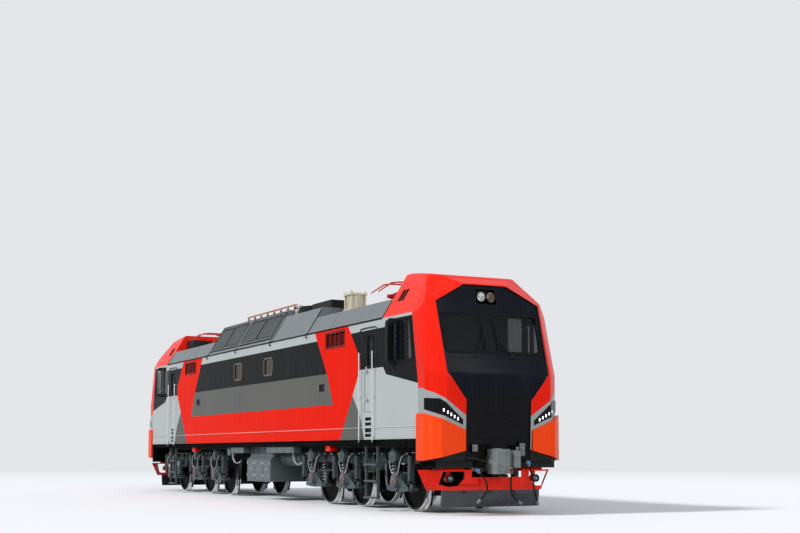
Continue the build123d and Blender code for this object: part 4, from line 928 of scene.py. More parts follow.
def make_windscreen_trim():
    """Rubber gasket round the windscreen and the seams above and below it."""
    shape = bmesh.new()
    add_frame(shape, rectangle(screen_place, -1.165, 1.165, 3.255, 4.140, -0.006), 0.060,
              SCREEN_OUT * 0.016, 0.10, 5)
    for seam, reach in ((4.235, 1.02), (3.165, 1.17)):
        add_plate(shape, rectangle(screen_place, -reach, reach, seam - 0.004, seam + 0.004, -0.002),
                  SCREEN_OUT * 0.005)
    finish_ends("windscreen_gaskets", shape, black_rubber, "trim_black")


WIPER_PIVOT, WIPER_CLIP = 3.205, 3.66
WIPER_BOSS = ((0, 0), (0.050, 0), (0.050, 0.018), (0.030, 0.030), (0.024, 0.050), (0, 0.050))


def make_wipers():
    """Two wipers: pivot, twin arm, clip and blade."""
    arms, blades = new_shapes(2)
    for pivot, tip in ((-0.46, -0.20), (0.40, 0.10)):
        add_turned(arms, screen_place(pivot, WIPER_PIVOT), SCREEN_OUT, WIPER_BOSS, 14)
        for shift in (-0.016, 0.016):
            add_rod(arms, screen_place(pivot + shift, WIPER_PIVOT, 0.040),
                    screen_place(tip + shift, WIPER_CLIP, 0.038), 0.007, 8)
        add_block(arms, screen_place(tip, WIPER_CLIP, 0.036), (0.020, 0.060, 0.040),
                  turn_to(SCREEN_OUT) @ Matrix.Rotation(math.pi / 2, 3, "Y"), 0.004)
        for low, high, proud, size in ((3.34, 4.02, 0.014, 0.010), (3.36, 4.00, 0.026, 0.006)):
            add_rod(blades, screen_place(tip, low, proud), screen_place(tip, high, proud), size, 6)
    finish_ends("wiper_arms", arms, black_plastic, "trim_black")
    finish_ends("wiper_blades", blades, black_rubber, "trim_black")


LAMP_BOWL = ((0.020, 0.006), (0.050, 0.020), (0.078, 0.055), (0.092, 0.098), (0.098, 0.098), (0.098, 0.0),
             (0.020, 0.0), (0.020, 0.006))
LAMP_GLASS = ((0, 0), (0.090, 0), (0.090, 0.004), (0.055, 0.014), (0, 0.018))
LAMP_RIM = ((0.098, 0.02), (0.106, 0.02), (0.106, 0.115), (0.098, 0.110), (0.098, 0.02))


def make_head_lamps():
    """The clear and the amber lamp in the niche above the windscreen, in their rims."""
    bowls, lenses, ambers, shrouds = new_shapes(4)
    for glass, side in ((lenses, -1), (ambers, 1)):
        middle = Vector((9.885, side * 0.115, rail(4.48)))
        add_turned(bowls, middle, AHEAD, LAMP_BOWL, 28)
        add_turned(glass, middle + Vector((0.094, 0, 0)), AHEAD, LAMP_GLASS, 28)
        add_turned(shrouds, middle, AHEAD, LAMP_RIM, 28)
    add_frame(shrouds, rectangle(screen_place, -0.262, 0.262, 4.300, 4.660, -0.010), 0.014,
              SCREEN_OUT * 0.014, 0.05, 4)
    finish_ends("headlamp_bowls", bowls, reflector, "lamp_glass")
    finish_ends("headlamp_lenses", lenses, lamp_lens, "lamp_glass")
    finish_ends("signal_lamp_lenses", ambers, amber_lens, "lamp_glass")
    finish_ends("headlamp_rims", shrouds, black_plastic, "lamp_glass")


def make_corner_lamps():
    """Five small bright lenses in a slanting row in each corner strip, in a shallow dark cell each."""
    lenses, cells = new_shapes(2)
    for side in (1, -1):
        for number in range(5):
            across = side * (0.965 + 0.077 * number)
            height = 1.915 + 0.043 * number
            place, normal = surface_at("lamps", across, height)
            turn = turn_to(normal)
            add_block(cells, place, (0.050, 0.090, 0.014), turn, 0.006)
            add_block(lenses, place + normal * 0.007, (0.032, 0.062, 0.012), turn, 0.005, 2)
    finish_ends("corner_lamp_cells", cells, black_plastic, "lamp_glass")
    finish_ends("corner_lamp_lenses", lenses, led_lens, "lamp_glass")


SOCKET_LID = ((0, 0), (0.052, 0), (0.055, 0.012), (0.040, 0.030), (0, 0.036))
SMALL_LID = ((0, 0), (0.048, 0), (0.048, 0.016), (0, 0.022))
LOW_SOCKET_LID = ((0, 0), (0.040, 0), (0.042, 0.012), (0.030, 0.028), (0, 0.032))


def make_column():
    """Service covers, grab irons and jumper gear on the upright black column."""
    covers, irons, gear, studs = new_shapes(4)
    for half, low, high, thick, corner in ((0.66, 1.99, 2.385, 0.012, 0.03), (0.66, 1.50, 1.965, 0.012, 0.03),
                                           (0.20, 1.20, 1.455, 0.014, 0.02)):
        add_plate(covers, rectangle(column_place, -half, half, low, high, -0.004), COLUMN_OUT * thick,
                  corner, 3, 0.003)
    for across in (-0.36, 0.36):
        for height in (1.90, 2.335):
            add_block(covers, column_place(across, height, 0.014), (0.018, 0.070, 0.030), None, 0.004)
    for across in (-0.52, 0.20):
        add_pipe(irons, [column_place(across + along, 1.83, proud) for along, proud in
                         ((0.0, 0.0), (0.0, 0.055), (0.02, 0.060), (0.30, 0.060), (0.32, 0.055),
                          (0.32, 0.0))], 0.010, 8)
    for row in (2.365, 2.01, 1.945, 1.52):
        for number in range(7):
            across = -0.60 + 0.2 * number
            add_rod(studs, column_place(across, row, 0.0), column_place(across, row, 0.013), 0.010, 6)
    # Jumper socket on the left of the column with its hinged cover, and two receptacles under it
    add_box(gear, (10.495, 0.475, rail(1.17)), (10.520, 0.605, rail(1.43)), 0.010, 2)
    add_turned(gear, (10.515, 0.540, rail(1.33)), (1, 0, 0.1), SOCKET_LID, 20)
    add_turned(gear, (10.515, 0.540, rail(1.225)), (1, 0, 0.1), LOW_SOCKET_LID, 18)
    add_rod(gear, (10.525, 0.470, rail(1.395)), (10.525, 0.610, rail(1.395)), 0.011, 10)
    add_box(gear, (10.485, 0.395, rail(1.04)), (10.507, 0.460, rail(1.36)), 0.008)
    add_box(gear, (10.495, -0.635, rail(1.26)), (10.512, -0.505, rail(1.40)), 0.010)
    add_turned(gear, (10.508, -0.570, rail(1.33)), AHEAD, SMALL_LID, 18)
    finish_ends("column_covers", covers, black_panel, "trim_black")
    finish_ends("column_grab_irons", irons, black_plastic, "trim_black")
    finish_ends("column_screws", studs, black_plastic, "trim_black")
    finish_ends("jumper_gear", gear, cast_grey, "fitting_metal")


APRON_X = 10.372
PLOUGH_LAMP_RIM = ((0.052, -0.03), (0.082, -0.03), (0.082, 0.020), (0.074, 0.028), (0.060, 0.020),
                   (0.052, 0.0), (0.052, -0.03))
PLOUGH_LAMP_BULB = ((0, 0), (0.016, 0), (0.012, 0.012), (0, 0.014))
PLOUGH_LAMP_GLASS = ((0, 0), (0.062, 0), (0.058, 0.010), (0.03, 0.018), (0, 0.020))


def make_under_nose():
    """Dark apron under the bumpers, plough ribs and steps, and lamp glasses in the plough."""
    apron, ribs, glasses, rims, bulbs = new_shapes(5)
    for side in (1, -1):
        add_plate(apron, [(APRON_X, side * across, rail(height)) for across, height in
                          ((0.56, 0.93), (1.40, 0.93), (1.40, 1.14), (0.80, 1.20), (0.56, 1.10))],
                  (0.012, 0, 0))
        for across in (0.64, 0.70):
            add_box(ribs, (10.36, side * across, rail(0.52)), (10.40, side * (across + 0.02), rail(0.70)))
        place = Vector((10.268, side * 1.010, rail(0.71)))
        add_turned(rims, place, AHEAD, PLOUGH_LAMP_RIM, 24)
        add_turned(glasses, place, AHEAD, PLOUGH_LAMP_GLASS, 24)
        add_turned(bulbs, place + Vector((0.014, 0, 0)), AHEAD, PLOUGH_LAMP_BULB, 14)
    add_box(ribs, (10.385, -0.88, rail(0.600)), (10.470, -0.40, rail(0.618)), 0.004)
    add_box(ribs, (10.385, -0.42, rail(0.600)), (10.465, -0.405, rail(0.700)), 0.003)
    finish_ends("nose_aprons", apron, black_plastic, "dark_grey")
    finish_ends("plough_ribs", ribs, red_low, "red_paint")
    finish_ends("plough_lamp_rims", rims, black_plastic, "lamp_glass")
    finish_ends("plough_lamp_bulbs", bulbs, reflector, "lamp_glass")
    finish_ends("plough_lamp_glasses", glasses, plough_lens, "lamp_glass")


make_windscreen_trim()
make_wipers()
make_head_lamps()
make_corner_lamps()
make_column()
make_under_nose()


# Sides: mouldings, gutter, window frames and panes, door trim and mirror glasses


def wall_place(along, height, proud=0.0):
    """On the side wall of the right side: place along X, height above the rail, distance proud."""
    return Vector((along, -HALF_WIDTH - proud, rail(height)))


def wall_rectangle(middle, width, low, high, proud=0.0):
    """Four corners on the side wall, from the middle and the width."""
    return rectangle(wall_place, middle - width / 2, middle + width / 2, low, high, proud)


# Step holes in the wall under each door: middle above the rail, and height
STEP_HOLES = ((1.975, 0.070), (1.865, 0.070), (1.730, 0.100), (1.615, 0.070))


def make_wall_trim():
    """Mouldings, gutter, rain strip over the door and dark backs of the step holes, as painted shade in the
    holes.
    """
    mouldings, low_edges, gutters, strips = new_shapes(4)
    add_box(mouldings, wall_place(0.0, 1.772, -0.004), wall_place(9.88, 1.798, 0.012), 0.004, 2)
    add_box(low_edges, wall_place(0.0, 1.522, -0.004), wall_place(9.88, 1.545, 0.008), 0.003)
    add_box(gutters, wall_place(0.0, 4.118, -0.010), wall_place(8.225, 4.146, 0.018), 0.004, 2)
    add_pipe(strips, [wall_place(*spot) for spot in ((7.10, 3.915, 0.012), (7.12, 3.965, 0.016),
                                                     (7.20, 3.985, 0.018), (7.85, 3.985, 0.018),
                                                     (7.95, 3.965, 0.016), (7.975, 3.915, 0.012))], 0.011, 8)
    # Black sheets behind the step holes: painted shade inside them.
    for height, size in STEP_HOLES:
        half = size / 2 - 0.003
        add_plate(strips, wall_rectangle(7.52, 0.352, height - half, height + half, -0.0375),
                  SIDE_OUT * 0.003, 0.018, 3)
    # The upper moulding takes the lightened livery, a painted highlight.
    finish_corners("side_mouldings", mouldings, moulding_highlight_livery, "body_paint")
    finish_corners("wall_low_edges", low_edges, body_livery, "body_paint")
    finish_corners("eaves_gutters", gutters, black_rubber, "dark_grey")
    finish_corners("door_rain_strips", strips, black_plastic, "trim_black")


def make_portholes():
    """Bronze frames and dark panes of the machine room portholes."""
    frames, panes = new_shapes(2)
    for along in (-1.165, 1.240):
        add_frame(frames, wall_rectangle(along, 0.668, 3.256, 3.744, -0.002), 0.040,
                  SIDE_OUT * 0.012, 0.13, 6)
        add_plate(panes, wall_rectangle(along, 0.640, 3.27, 3.73, -0.030), SIDE_OUT * 0.010, 0.125, 6)
    finish_sides("porthole_frames", frames, rim_bronze, "rail_steel")
    finish_sides("porthole_panes", panes, port_glass, "pane")


def make_cab_windows():
    """Gasket, sash bars and drawn curtain of each cab side window."""
    gaskets, bars, blinds = new_shapes(3)
    corners = [wall_place(*spot, -0.003) for spot in ((8.535, 3.125), (9.700, 3.125), (9.552, 4.055),
                                                      (8.535, 4.055))]
    add_frame(gaskets, corners, 0.055, SIDE_OUT * 0.014, 0.09, 5)
    add_box(gaskets, wall_place(9.060, 3.16, -0.034), wall_place(9.095, 4.02, -0.006), 0.003)
    add_frame(bars, rectangle(wall_place, 8.60, 9.075, 3.17, 4.01, -0.030), 0.026, SIDE_OUT * 0.014, 0.05, 3)
    for fold in range(7):
        along = 9.36 + 0.022 * fold
        add_rod(blinds, wall_place(along, 3.20, -0.075), wall_place(along - 0.008, 3.99, -0.075), 0.014, 8)
    finish_corners("cab_window_gaskets", gaskets, black_rubber, "trim_black")
    finish_corners("cab_window_sashes", bars, black_plastic, "trim_black")
    finish_corners("cab_window_curtains", blinds, curtain_cloth, "plain_block")


def make_door_trim():
    """Gasket, pane, lever backs and levers on each door, riding on that door."""
    for end_name, end in ENDS:
        for side_name, side in SIDES:
            gasket, pane, levers = new_shapes(3)
            add_frame(gasket, rectangle(wall_place, 7.405, 7.775, 3.095, 3.845, -0.007), 0.045,
                      SIDE_OUT * 0.010, 0.165, 6)
            add_plate(pane, rectangle(wall_place, 7.432, 7.748, 3.122, 3.818, -0.030),
                      SIDE_OUT * 0.010, 0.145, 6)
            for height in (3.03, 2.40):
                add_plate(levers, rectangle(wall_place, 7.345, 7.420, height - 0.10, height + 0.10, -0.007),
                          SIDE_OUT * 0.006, 0.02, 3)
                add_pipe(levers, [(7.380, -1.548, rail(height)), (7.380, -1.588, rail(height)),
                                  (7.395, -1.590, rail(height)), (7.500, -1.590, rail(height - 0.004))],
                         0.008, 8)
            for shape, kind, finish, slot in ((gasket, "gasket", black_rubber, "trim_black"),
                                              (pane, "pane", window_glass, "pane"),
                                              (levers, "levers", steel, "rail_steel")):
                flip = Vector((end, -side, 1))
                bmesh.ops.scale(shape, vec=flip, verts=shape.verts)
                finish_piece(f"{end_name}_{side_name}_door_{kind}", shape, finish,
                             f"{end_name}_{side_name}_door", slot)


def make_mirror_glass():
    """Glasses and back covers of the mirrors."""
    glass, backs = new_shapes(2)
    add_box(glass, (8.738, -1.735, rail(3.19)), (8.744, -1.585, rail(3.96)), 0.0)
    add_box(backs, (8.856, -1.730, rail(3.20)), (8.868, -1.590, rail(3.95)), 0.004)
    for height in (3.30, 3.85):
        add_box(backs, (8.860, -1.700, rail(height)), (8.876, -1.620, rail(height + 0.05)), 0.004)
    finish_corners("mirror_glasses", glass, mirror_glass, "rail_steel")
    finish_corners("mirror_back_covers", backs, black_gloss, "trim_black")


make_wall_trim()
make_portholes()
make_cab_windows()
make_door_trim()
make_mirror_glass()


# Roof: wire mesh, seams, busbar, choke coil, boxes and pantograph fittings, and rims of the wall grilles
SLOPE_UP = Vector((0, 0.5183, 0.8552))
SLOPE_OUT = Vector((0, -0.8552, 0.5183))
HATCHES = ((-2.660, 2.500), (-0.030, 2.560))
HATCH_LOW, HATCH_HIGH, HATCH_FRAME = 0.150, 0.960, 0.050
# Length of the slope from the eaves: beside the mesh hatches, the middle hood and the low decks
HATCH_SLOPE, HOOD_SLOPE, DECK_SLOPE = 1.00, 0.78, 0.46
BUSBAR_Y = -0.800
FAN_MIDDLE = (2.06, -0.42)
LOUVRE_X = 8.68


def slope_place(along, rise, proud=0.0):
    """On the sloped roof side of the right side: place along X, distance up the slope, distance proud."""
    return Vector((along, -HALF_WIDTH, EAVES)) + SLOPE_UP * rise + SLOPE_OUT * proud


def make_hatch_mesh():
    """Woven wire in each hatch frame, with bolts round the frame and two lifting eyes."""
    wires, bolts, edges, backs = new_shapes(4)
    for middle, width in HATCHES:
        left, right = middle - width / 2, middle + width / 2
        for row in range(1, 20):
            rise = HATCH_LOW + HATCH_FRAME + row * (HATCH_HIGH - HATCH_LOW - 2 * HATCH_FRAME) / 20
            add_rod(wires, slope_place(left + 0.04, rise, 0.006), slope_place(right - 0.04, rise, 0.006),
                    0.0060, 4)
        for column in range(1, 56):
            along = left + 0.04 + column * (width - 0.08) / 56
            add_rod(wires, slope_place(along, HATCH_LOW + 0.04, 0.002),
                    slope_place(along, HATCH_HIGH - 0.04, 0.002), 0.0032, 4)
        for rise in (HATCH_LOW + 0.025, HATCH_HIGH - 0.025):
            for number in range(11):
                along = left + 0.06 + number * (width - 0.12) / 10
                add_rod(bolts, slope_place(along, rise, 0.010), slope_place(along, rise, 0.026), 0.011, 6)
        add_frame(edges, rectangle(slope_place, left - 0.040, right + 0.040, HATCH_LOW - 0.040,
                                   HATCH_HIGH + 0.036, -0.004), 0.038, SLOPE_OUT * 0.014)
        # A dark sealing line round each grid and over the bar between its two halves
        half = (width - 3 * HATCH_FRAME) / 2 + 0.016
        for start in (left + HATCH_FRAME - 0.008, right - HATCH_FRAME + 0.008 - half):
            add_frame(edges, rectangle(slope_place, start, start + half, HATCH_LOW + HATCH_FRAME - 0.008,
                                       HATCH_HIGH - HATCH_FRAME + 0.008, 0.012), 0.024,
                      SLOPE_OUT * 0.008, 0.06, 4)
        for along in (left + 0.3, right - 0.3):
            add_pipe(bolts, [slope_place(along + shift, HATCH_HIGH - 0.02, proud) for shift, proud in
                             ((-0.04, 0.01), (-0.04, 0.06), (0.04, 0.06), (0.04, 0.01))], 0.007, 8)
        add_plate(backs, rectangle(slope_place, left - 0.02, right + 0.02, HATCH_LOW - 0.02,
                                   HATCH_HIGH + 0.02, -0.110), SLOPE_OUT * 0.010)
        for number in range(31):
            along = left + number * width / 30
            add_plate(backs, rectangle(slope_place, along, along + 0.006, HATCH_LOW, HATCH_HIGH, -0.102),
                      SLOPE_OUT * 0.045)
    finish_sides("hatch_cooling_fins", backs, fin_grey, "mesh_wire")
    finish_sides("hatch_meshes", wires, mesh_wire, "mesh_wire")
    finish_sides("hatch_bolts", bolts, under_grey, "mesh_wire")
    finish_sides("hatch_edges", edges, black_rubber, "trim_black")


def make_roof_seams():
    """Cover strips across the roof: a rubber pair at the hood step, and welded joints along the decks."""
    dark, light, welds = new_shapes(3)
    for along, half, top, shape in ((1.375, 0.018, HATCH_SLOPE, dark), (1.445, 0.018, HOOD_SLOPE, dark),
                                    (1.410, 0.016, HOOD_SLOPE, light), (3.935, 0.020, HOOD_SLOPE, dark),
                                    (-3.935, 0.016, HATCH_SLOPE, dark), (-1.395, 0.016, HATCH_SLOPE, dark),
                                    (-1.325, 0.016, HATCH_SLOPE, dark), (-1.360, 0.018, HATCH_SLOPE, light),
                                    (8.215, 0.010, DECK_SLOPE, dark), (-8.215, 0.010, DECK_SLOPE, dark)):
        add_plate(shape, rectangle(slope_place, along - half, along + half, 0.0, top, -0.004),
                  SLOPE_OUT * 0.014)
    for along in (1.41, 3.935, -1.36, -3.935):
        add_pipe(dark, [wall_place(along, height, proud) for height, proud in
                        ((4.150, -0.004), (4.150, 0.030), (4.120, 0.036), (4.030, 0.030))], 0.013, 8)
        add_box(dark, wall_place(along - 0.025, 4.035, -0.003), wall_place(along + 0.025, 4.055, 0.030),
                0.004)
    for along, top in ((2.65, HOOD_SLOPE), (5.35, DECK_SLOPE), (-5.35, DECK_SLOPE), (6.80, DECK_SLOPE),
                       (-6.80, DECK_SLOPE)):
        add_plate(welds, rectangle(slope_place, along - 0.005, along + 0.005, 0.02, top, -0.003),
                  SLOPE_OUT * 0.006)
    finish_sides("roof_rubber_strips", dark, black_rubber, "trim_black")
    finish_sides("roof_light_strips", light, light_paint, "roof_grey")
    finish_sides("roof_weld_seams", welds, roof_paint, "roof_grey")


def insulator_outline(height, core, shed, count):
    """Half outline of a ribbed insulator: a core with rounded sheds."""
    outline = [(0.0, 0.0), (core * 1.15, 0.0), (core * 1.15, 0.01)]
    pitch = (height - 0.03) / count
    for number in range(count):
        low = 0.012 + pitch * number
        outline += [(core, low), (shed, low + pitch * 0.42), (shed, low + pitch * 0.55),
                    (core, low + pitch * 0.95)]
    outline += [(core * 1.1, height - 0.012), (core * 1.1, height), (0.0, height)]
    return outline


def make_busbar():
    """Ribbed insulators, and the bar in lengths with links between."""
    stands, bars, links, caps = new_shapes(4)
    foot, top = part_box("roof_busbars")[0].z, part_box("roof_busbars")[1].z
    bar_low = top - 0.045
    for number in range(8):
        along = -2.400 + 0.520 * number
        add_turned(stands, (along, BUSBAR_Y, foot + 0.012), UP,
                   insulator_outline(bar_low - foot - 0.030, 0.020, 0.046, 3), 18)
        add_turned(caps, (along, BUSBAR_Y, foot), UP, ((0, 0), (0.052, 0), (0.052, 0.012), (0, 0.016)), 14)
        add_box(caps, (along - 0.030, -0.822, bar_low - 0.020), (along + 0.030, -0.778, bar_low), 0.003)
        add_bolts(caps, (along, BUSBAR_Y, foot + 0.010), UP, 0.040, 4, 0.006, 0.010)
    for start, end in ((-2.500, -0.620), (-0.560, 1.300)):
        add_box(bars, (start, -0.812, bar_low), (end, -0.788, top - 0.004), 0.004)
    for shift in (-0.010, 0.0, 0.010):
        add_pipe(links, [(along, BUSBAR_Y + shift, top - drop) for along, drop in
                         ((-0.640, 0.022), (-0.610, 0.002), (-0.570, 0.002), (-0.540, 0.022))], 0.005, 8)
    finish_piece("busbar_insulators", stands, red_ceramic, slot="fitting_metal", replaces=("roof_busbars",))
    finish_piece("busbar_lengths", bars, copper, slot="copper_bar")
    finish_piece("busbar_links", links, steel, slot="copper_bar")
    finish_piece("busbar_clamps", caps, steel, slot="fitting_metal")


SWITCHGEAR_X = 1.52
INSULATOR_CAP = ((0, 0), (0.040, 0), (0.040, 0.020), (0.018, 0.034), (0, 0.034))


def make_switchgear():
    """White insulators with dark caps and a bowed lead beside the step in the hood, fed from the busbar."""
    white, dark, leads = new_shapes(3)
    floor = ROOF_GEAR_Z
    for across, height in ((-0.86, 0.20), (-0.62, 0.18), (-0.38, 0.16)):
        add_turned(white, (SWITCHGEAR_X, across, floor + 0.010), UP,
                   insulator_outline(height, 0.030, 0.058, 4), 20)
        add_turned(dark, (SWITCHGEAR_X, across, floor - 0.004), UP,
                   ((0, 0), (0.066, 0), (0.066, 0.014), (0, 0.018)), 16)
        add_turned(dark, (SWITCHGEAR_X, across, floor + 0.010 + height), UP, INSULATOR_CAP, 16)
    add_pipe(leads, [(1.290, -0.800, rail(5.180)), (1.400, -0.810, rail(5.195)), (1.500, -0.840, rail(5.150)),
                     (1.520, -0.860, rail(5.070))], 0.010, 8)
    for across, top in ((-0.860, rail(5.070)), (-0.620, rail(5.050))):
        add_pipe(leads, [(1.520, across, top), (1.530, across + 0.060, top + 0.070),
                         (1.530, across + 0.180, top + 0.060), (1.520, across + 0.240, top - 0.020)], 0.009,
                 8)
    finish_piece("switchgear_insulators", white, white_ceramic, slot="fitting_metal")
    finish_piece("switchgear_caps", dark, black_plastic, slot="fitting_metal")
    finish_piece("switchgear_leads", leads, copper, slot="copper_bar")


def make_coil_dress():
    """Inside the battens: the wound conductor, clamp rings and terminals of the choke coil."""
    turns, clamps, bars = new_shapes(3)
    middle = Vector((4.700, -0.600, 0))
    low, high = rail(4.715), rail(5.115)
    for radius, steps in ((0.168, 28), (0.125, 24)):
        add_spring(turns, middle + up(low + 0.020), high - low - 0.04, radius, 0.0105, 15, steps, 6)
    for height in (low + 0.006, high - 0.014):
        add_ring(clamps, middle + up(height), UP, 0.188, 0.206, 0.014, 40)
    add_box(bars, (4.50, -0.612, low - 0.018), (4.90, -0.588, low - 0.006), 0.003)
    add_box(bars, (4.515, -0.630, low + 0.02), (4.535, -0.570, low + 0.10), 0.003)
    add_pipe(bars, [(4.700, -0.415, low + 0.06), (4.700, -0.36, low + 0.04), (4.70, -0.30, low - 0.05),
                    (4.70, -0.27, rail(4.555))], 0.012, 8)
    finish_piece("coil_turns", turns, brass, slot="coil_beige")
    finish_piece("coil_clamp_rings", clamps, coil_fibre, slot="coil_beige")
    finish_piece("coil_terminals", bars, brass, slot="copper_bar")


def make_box_dress():
    """Lids, bolts and cooling ribs on the low roof boxes."""
    lids, bolts = new_shapes(2)
    box_top = ROOF_GEAR_Z + 0.200
    for number in range(9):
        along = 2.80 + 0.13 * number
        add_box(lids, (along, -0.885, box_top - 0.003), (along + 0.030, -0.235, box_top + 0.012), 0.004)
    add_box(lids, (2.725, -0.910, box_top - 0.035), (3.915, -0.905, box_top - 0.020))
    for along in (2.76, 3.88):
        for number in range(5):
            add_rod(bolts, (along, -0.86 + 0.15 * number, box_top),
                    (along, -0.86 + 0.15 * number, box_top + 0.012), 0.010, 6)
    add_bolts(bolts, (*FAN_MIDDLE, ROOF_GEAR_Z + 0.198), UP, 0.365, 16, 0.011, 0.014)
    finish_piece("roof_box_ribs", lids, black_plastic, slot="dark_grey")
    finish_piece("roof_box_bolts", bolts, steel, slot="fitting_metal")


FAN_HUB = ((0, 0), (0.100, 0), (0.100, 0.120), (0.080, 0.140), (0, 0.145))


def make_fan():
    """Hub, blades and a wire guard in the round fan housing on the roof."""
    blades, guard = new_shapes(2)
    middle = Vector((*FAN_MIDDLE, ROOF_GEAR_Z))
    add_turned(blades, middle, UP, FAN_HUB, 24)
    for number in range(9):
        turn = Matrix.Rotation(math.tau * number / 9, 3, "Z")
        add_block(blades, middle + turn @ Vector((0.185, 0, 0.080)), (0.200, 0.110, 0.008),
                  turn @ Matrix.Rotation(0.5, 3, "X"), 0.003)
    for radius in (0.10, 0.16, 0.22, 0.28):
        add_ring(guard, middle + up(0.182), UP, radius - 0.004, radius + 0.004, 0.008, 32)
    for number in range(8):
        away = Matrix.Rotation(math.tau * number / 8, 3, "Z") @ Vector((1, 0, 0))
        add_rod(guard, middle + away * 0.02 + up(0.188), middle + away * 0.315 + up(0.188), 0.005, 6)
    finish_piece("roof_fan_blades", blades, under_grey, slot="dark_grey")
    finish_piece("roof_fan_guard", guard, steel, slot="fitting_metal")


LIFTING_EYE = ((0.016, -0.006), (0.030, -0.006), (0.030, 0.006), (0.016, 0.006), (0.016, -0.006))


def make_roof_covers():
    """Bolted covers and lifting eyes on the roof tops, and dark backs in the cab roof louvres as painted
    shade.
    """
    covers, bolts, backs = new_shapes(3)
    for left, right, top in ((-3.70, -2.45, HATCH_HOOD_Z), (-2.35, -1.10, HATCH_HOOD_Z),
                             (-1.00, 1.20, HATCH_HOOD_Z), (-6.20, -4.20, DECK_Z), (5.20, 6.20, DECK_Z)):
        for low, high in ((-0.62, -0.02), (0.02, 0.62)):
            add_box(covers, (left, low, top - 0.004), (right, high, top + 0.010), 0.004)
            for number in range(6):
                along = left + 0.04 + (right - left - 0.08) * number / 5
                for across in (low + 0.03, high - 0.03):
                    add_rod(bolts, (along, across, top + 0.008), (along, across, top + 0.018), 0.011, 6)
        for along in (left + 0.1, right - 0.1):
            for across in (-0.70, 0.70):
                add_turned(bolts, (along, across, top + 0.028), (0, 1, 0), LIFTING_EYE, 14)
    # Black sheets in the cab roof louvres: painted shade inside them.
    for end in (-1, 1):
        add_plate(backs, rectangle(slope_place, end * LOUVRE_X - 0.18, end * LOUVRE_X + 0.18, 0.36, 0.72,
                                   -0.075), SLOPE_OUT * 0.006)
    finish_piece("roof_service_covers", covers, roof_paint, slot="roof_grey")
    finish_piece("roof_cover_bolts", bolts, under_grey, slot="fitting_metal")
    finish_sides("cab_louvre_backs", backs, black_rubber, "trim_black")


def make_rear_deck_boxes():
    """Black resistor boxes with ribbed lids on the low deck between the rear cab and its pantograph."""
    boxes, ribs = new_shapes(2)
    for left, right, height in ((-8.16, -7.83, 0.42), (-7.80, -7.50, 0.36)):
        for low, high in ((-0.90, -0.34), (-0.28, 0.28), (0.34, 0.90)):
            add_box(boxes, (left, low, DECK_Z - 0.004), (right, high, DECK_Z + height), 0.012, 2)
            for number in range(5):
                across = low + 0.05 + 0.105 * number
                add_box(ribs, (left + 0.02, across, DECK_Z + height - 0.003),
                        (right - 0.02, across + 0.03, DECK_Z + height + 0.012), 0.003)
            for along in (left + 0.03, right - 0.03):
                add_rod(ribs, (along, high + 0.02, DECK_Z), (along, high + 0.02, DECK_Z + height * 0.8),
                        0.008, 8)
    finish_piece("rear_resistor_boxes", boxes, black_plastic, slot="dark_grey")
    finish_piece("rear_resistor_ribs", ribs, black_rubber, slot="dark_grey")


def make_pantograph_dress():
    """Carbon strips on the heads, springs on the base and a drop cable on the arms."""
    for end_name, end in ENDS:
        head_low, head_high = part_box(f"{end_name}_pantograph_head")
        strips = bmesh.new()
        for along in (head_low.x + 0.035, head_high.x - 0.035):
            add_box(strips, (along - 0.017, -0.500, head_high.z - 0.012),
                    (along + 0.017, 0.500, head_high.z - 0.0005), 0.002)
        finish_piece(f"{end_name}_contact_strips", strips, carbon, f"{end_name}_pantograph_head", "dark_grey")
        low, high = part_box(f"{end_name}_pantograph_lower_arm")
        lines = bmesh.new()
        outer, inner = end * 6.90, end * 5.72
        add_pipe(lines, [(outer, -0.30, low.z + 0.090), ((outer + inner) / 2, -0.26, high.z - 0.075),
                         (inner, -0.20, high.z - 0.055)], 0.007, 8)
        finish_piece(f"{end_name}_arm_cable", lines, black_rubber, f"{end_name}_pantograph_lower_arm",
                     "hose_rubber")
        coils = bmesh.new()
        base_z = ROOF_GEAR_Z
        for across in (-0.12, 0.12):
            for number in range(26):
                add_ring(coils, (end * (6.30 + 0.016 * number), across, base_z + 0.05), AHEAD, 0.016,
                         0.026, 0.008, 12)
            add_rod(coils, (end * 6.22, across, base_z + 0.05), (end * 6.78, across, base_z + 0.05), 0.010,
                    10)
        finish_piece(f"{end_name}_raising_springs", coils, spring_paint, slot="spring_steel")


def make_louvre_frames():
    """Thin rims round the red wall grilles and the small grey wall vents, and dark backs behind them as
    painted shade.
    """
    rims, vent_rims, backs = new_shapes(3)
    for shape, along, width, low, high in ((rims, 5.665, 1.134, 3.668, 4.062),
                                           (rims, -5.665, 1.134, 3.668, 4.062),
                                           (vent_rims, 4.880, 0.304, 2.683, 2.867),
                                           (vent_rims, -4.825, 0.304, 2.683, 2.867)):
        add_frame(shape, wall_rectangle(along, width, low, high, -0.003), 0.013, SIDE_OUT * 0.009)
        # Black sheets behind the openings: painted shade inside them.
        add_box(backs, wall_place(along - width / 2 + 0.004, low + 0.010, -0.062),
                wall_place(along + width / 2 - 0.004, high - 0.010, -0.054))
    finish_sides("grille_rims", rims, deep_red, "red_paint")
    finish_sides("vent_rims", vent_rims, under_dark, "trim_black")
    finish_sides("grille_backs", backs, black_plastic, "trim_black")


make_hatch_mesh()
make_roof_seams()
make_busbar()
make_switchgear()
make_coil_dress()
make_box_dress()
make_fan()
make_roof_covers()
make_rear_deck_boxes()
make_pantograph_dress()
make_louvre_frames()


# Bogies: springs, axlebox covers, brake cylinders, dampers, pipes and cables, made once and set at both ends
BEAM_Y = 1.14
SPRING_FOOT = 0.530
SPRING_HEIGHT = 0.510
CYLINDER_Y = 1.36


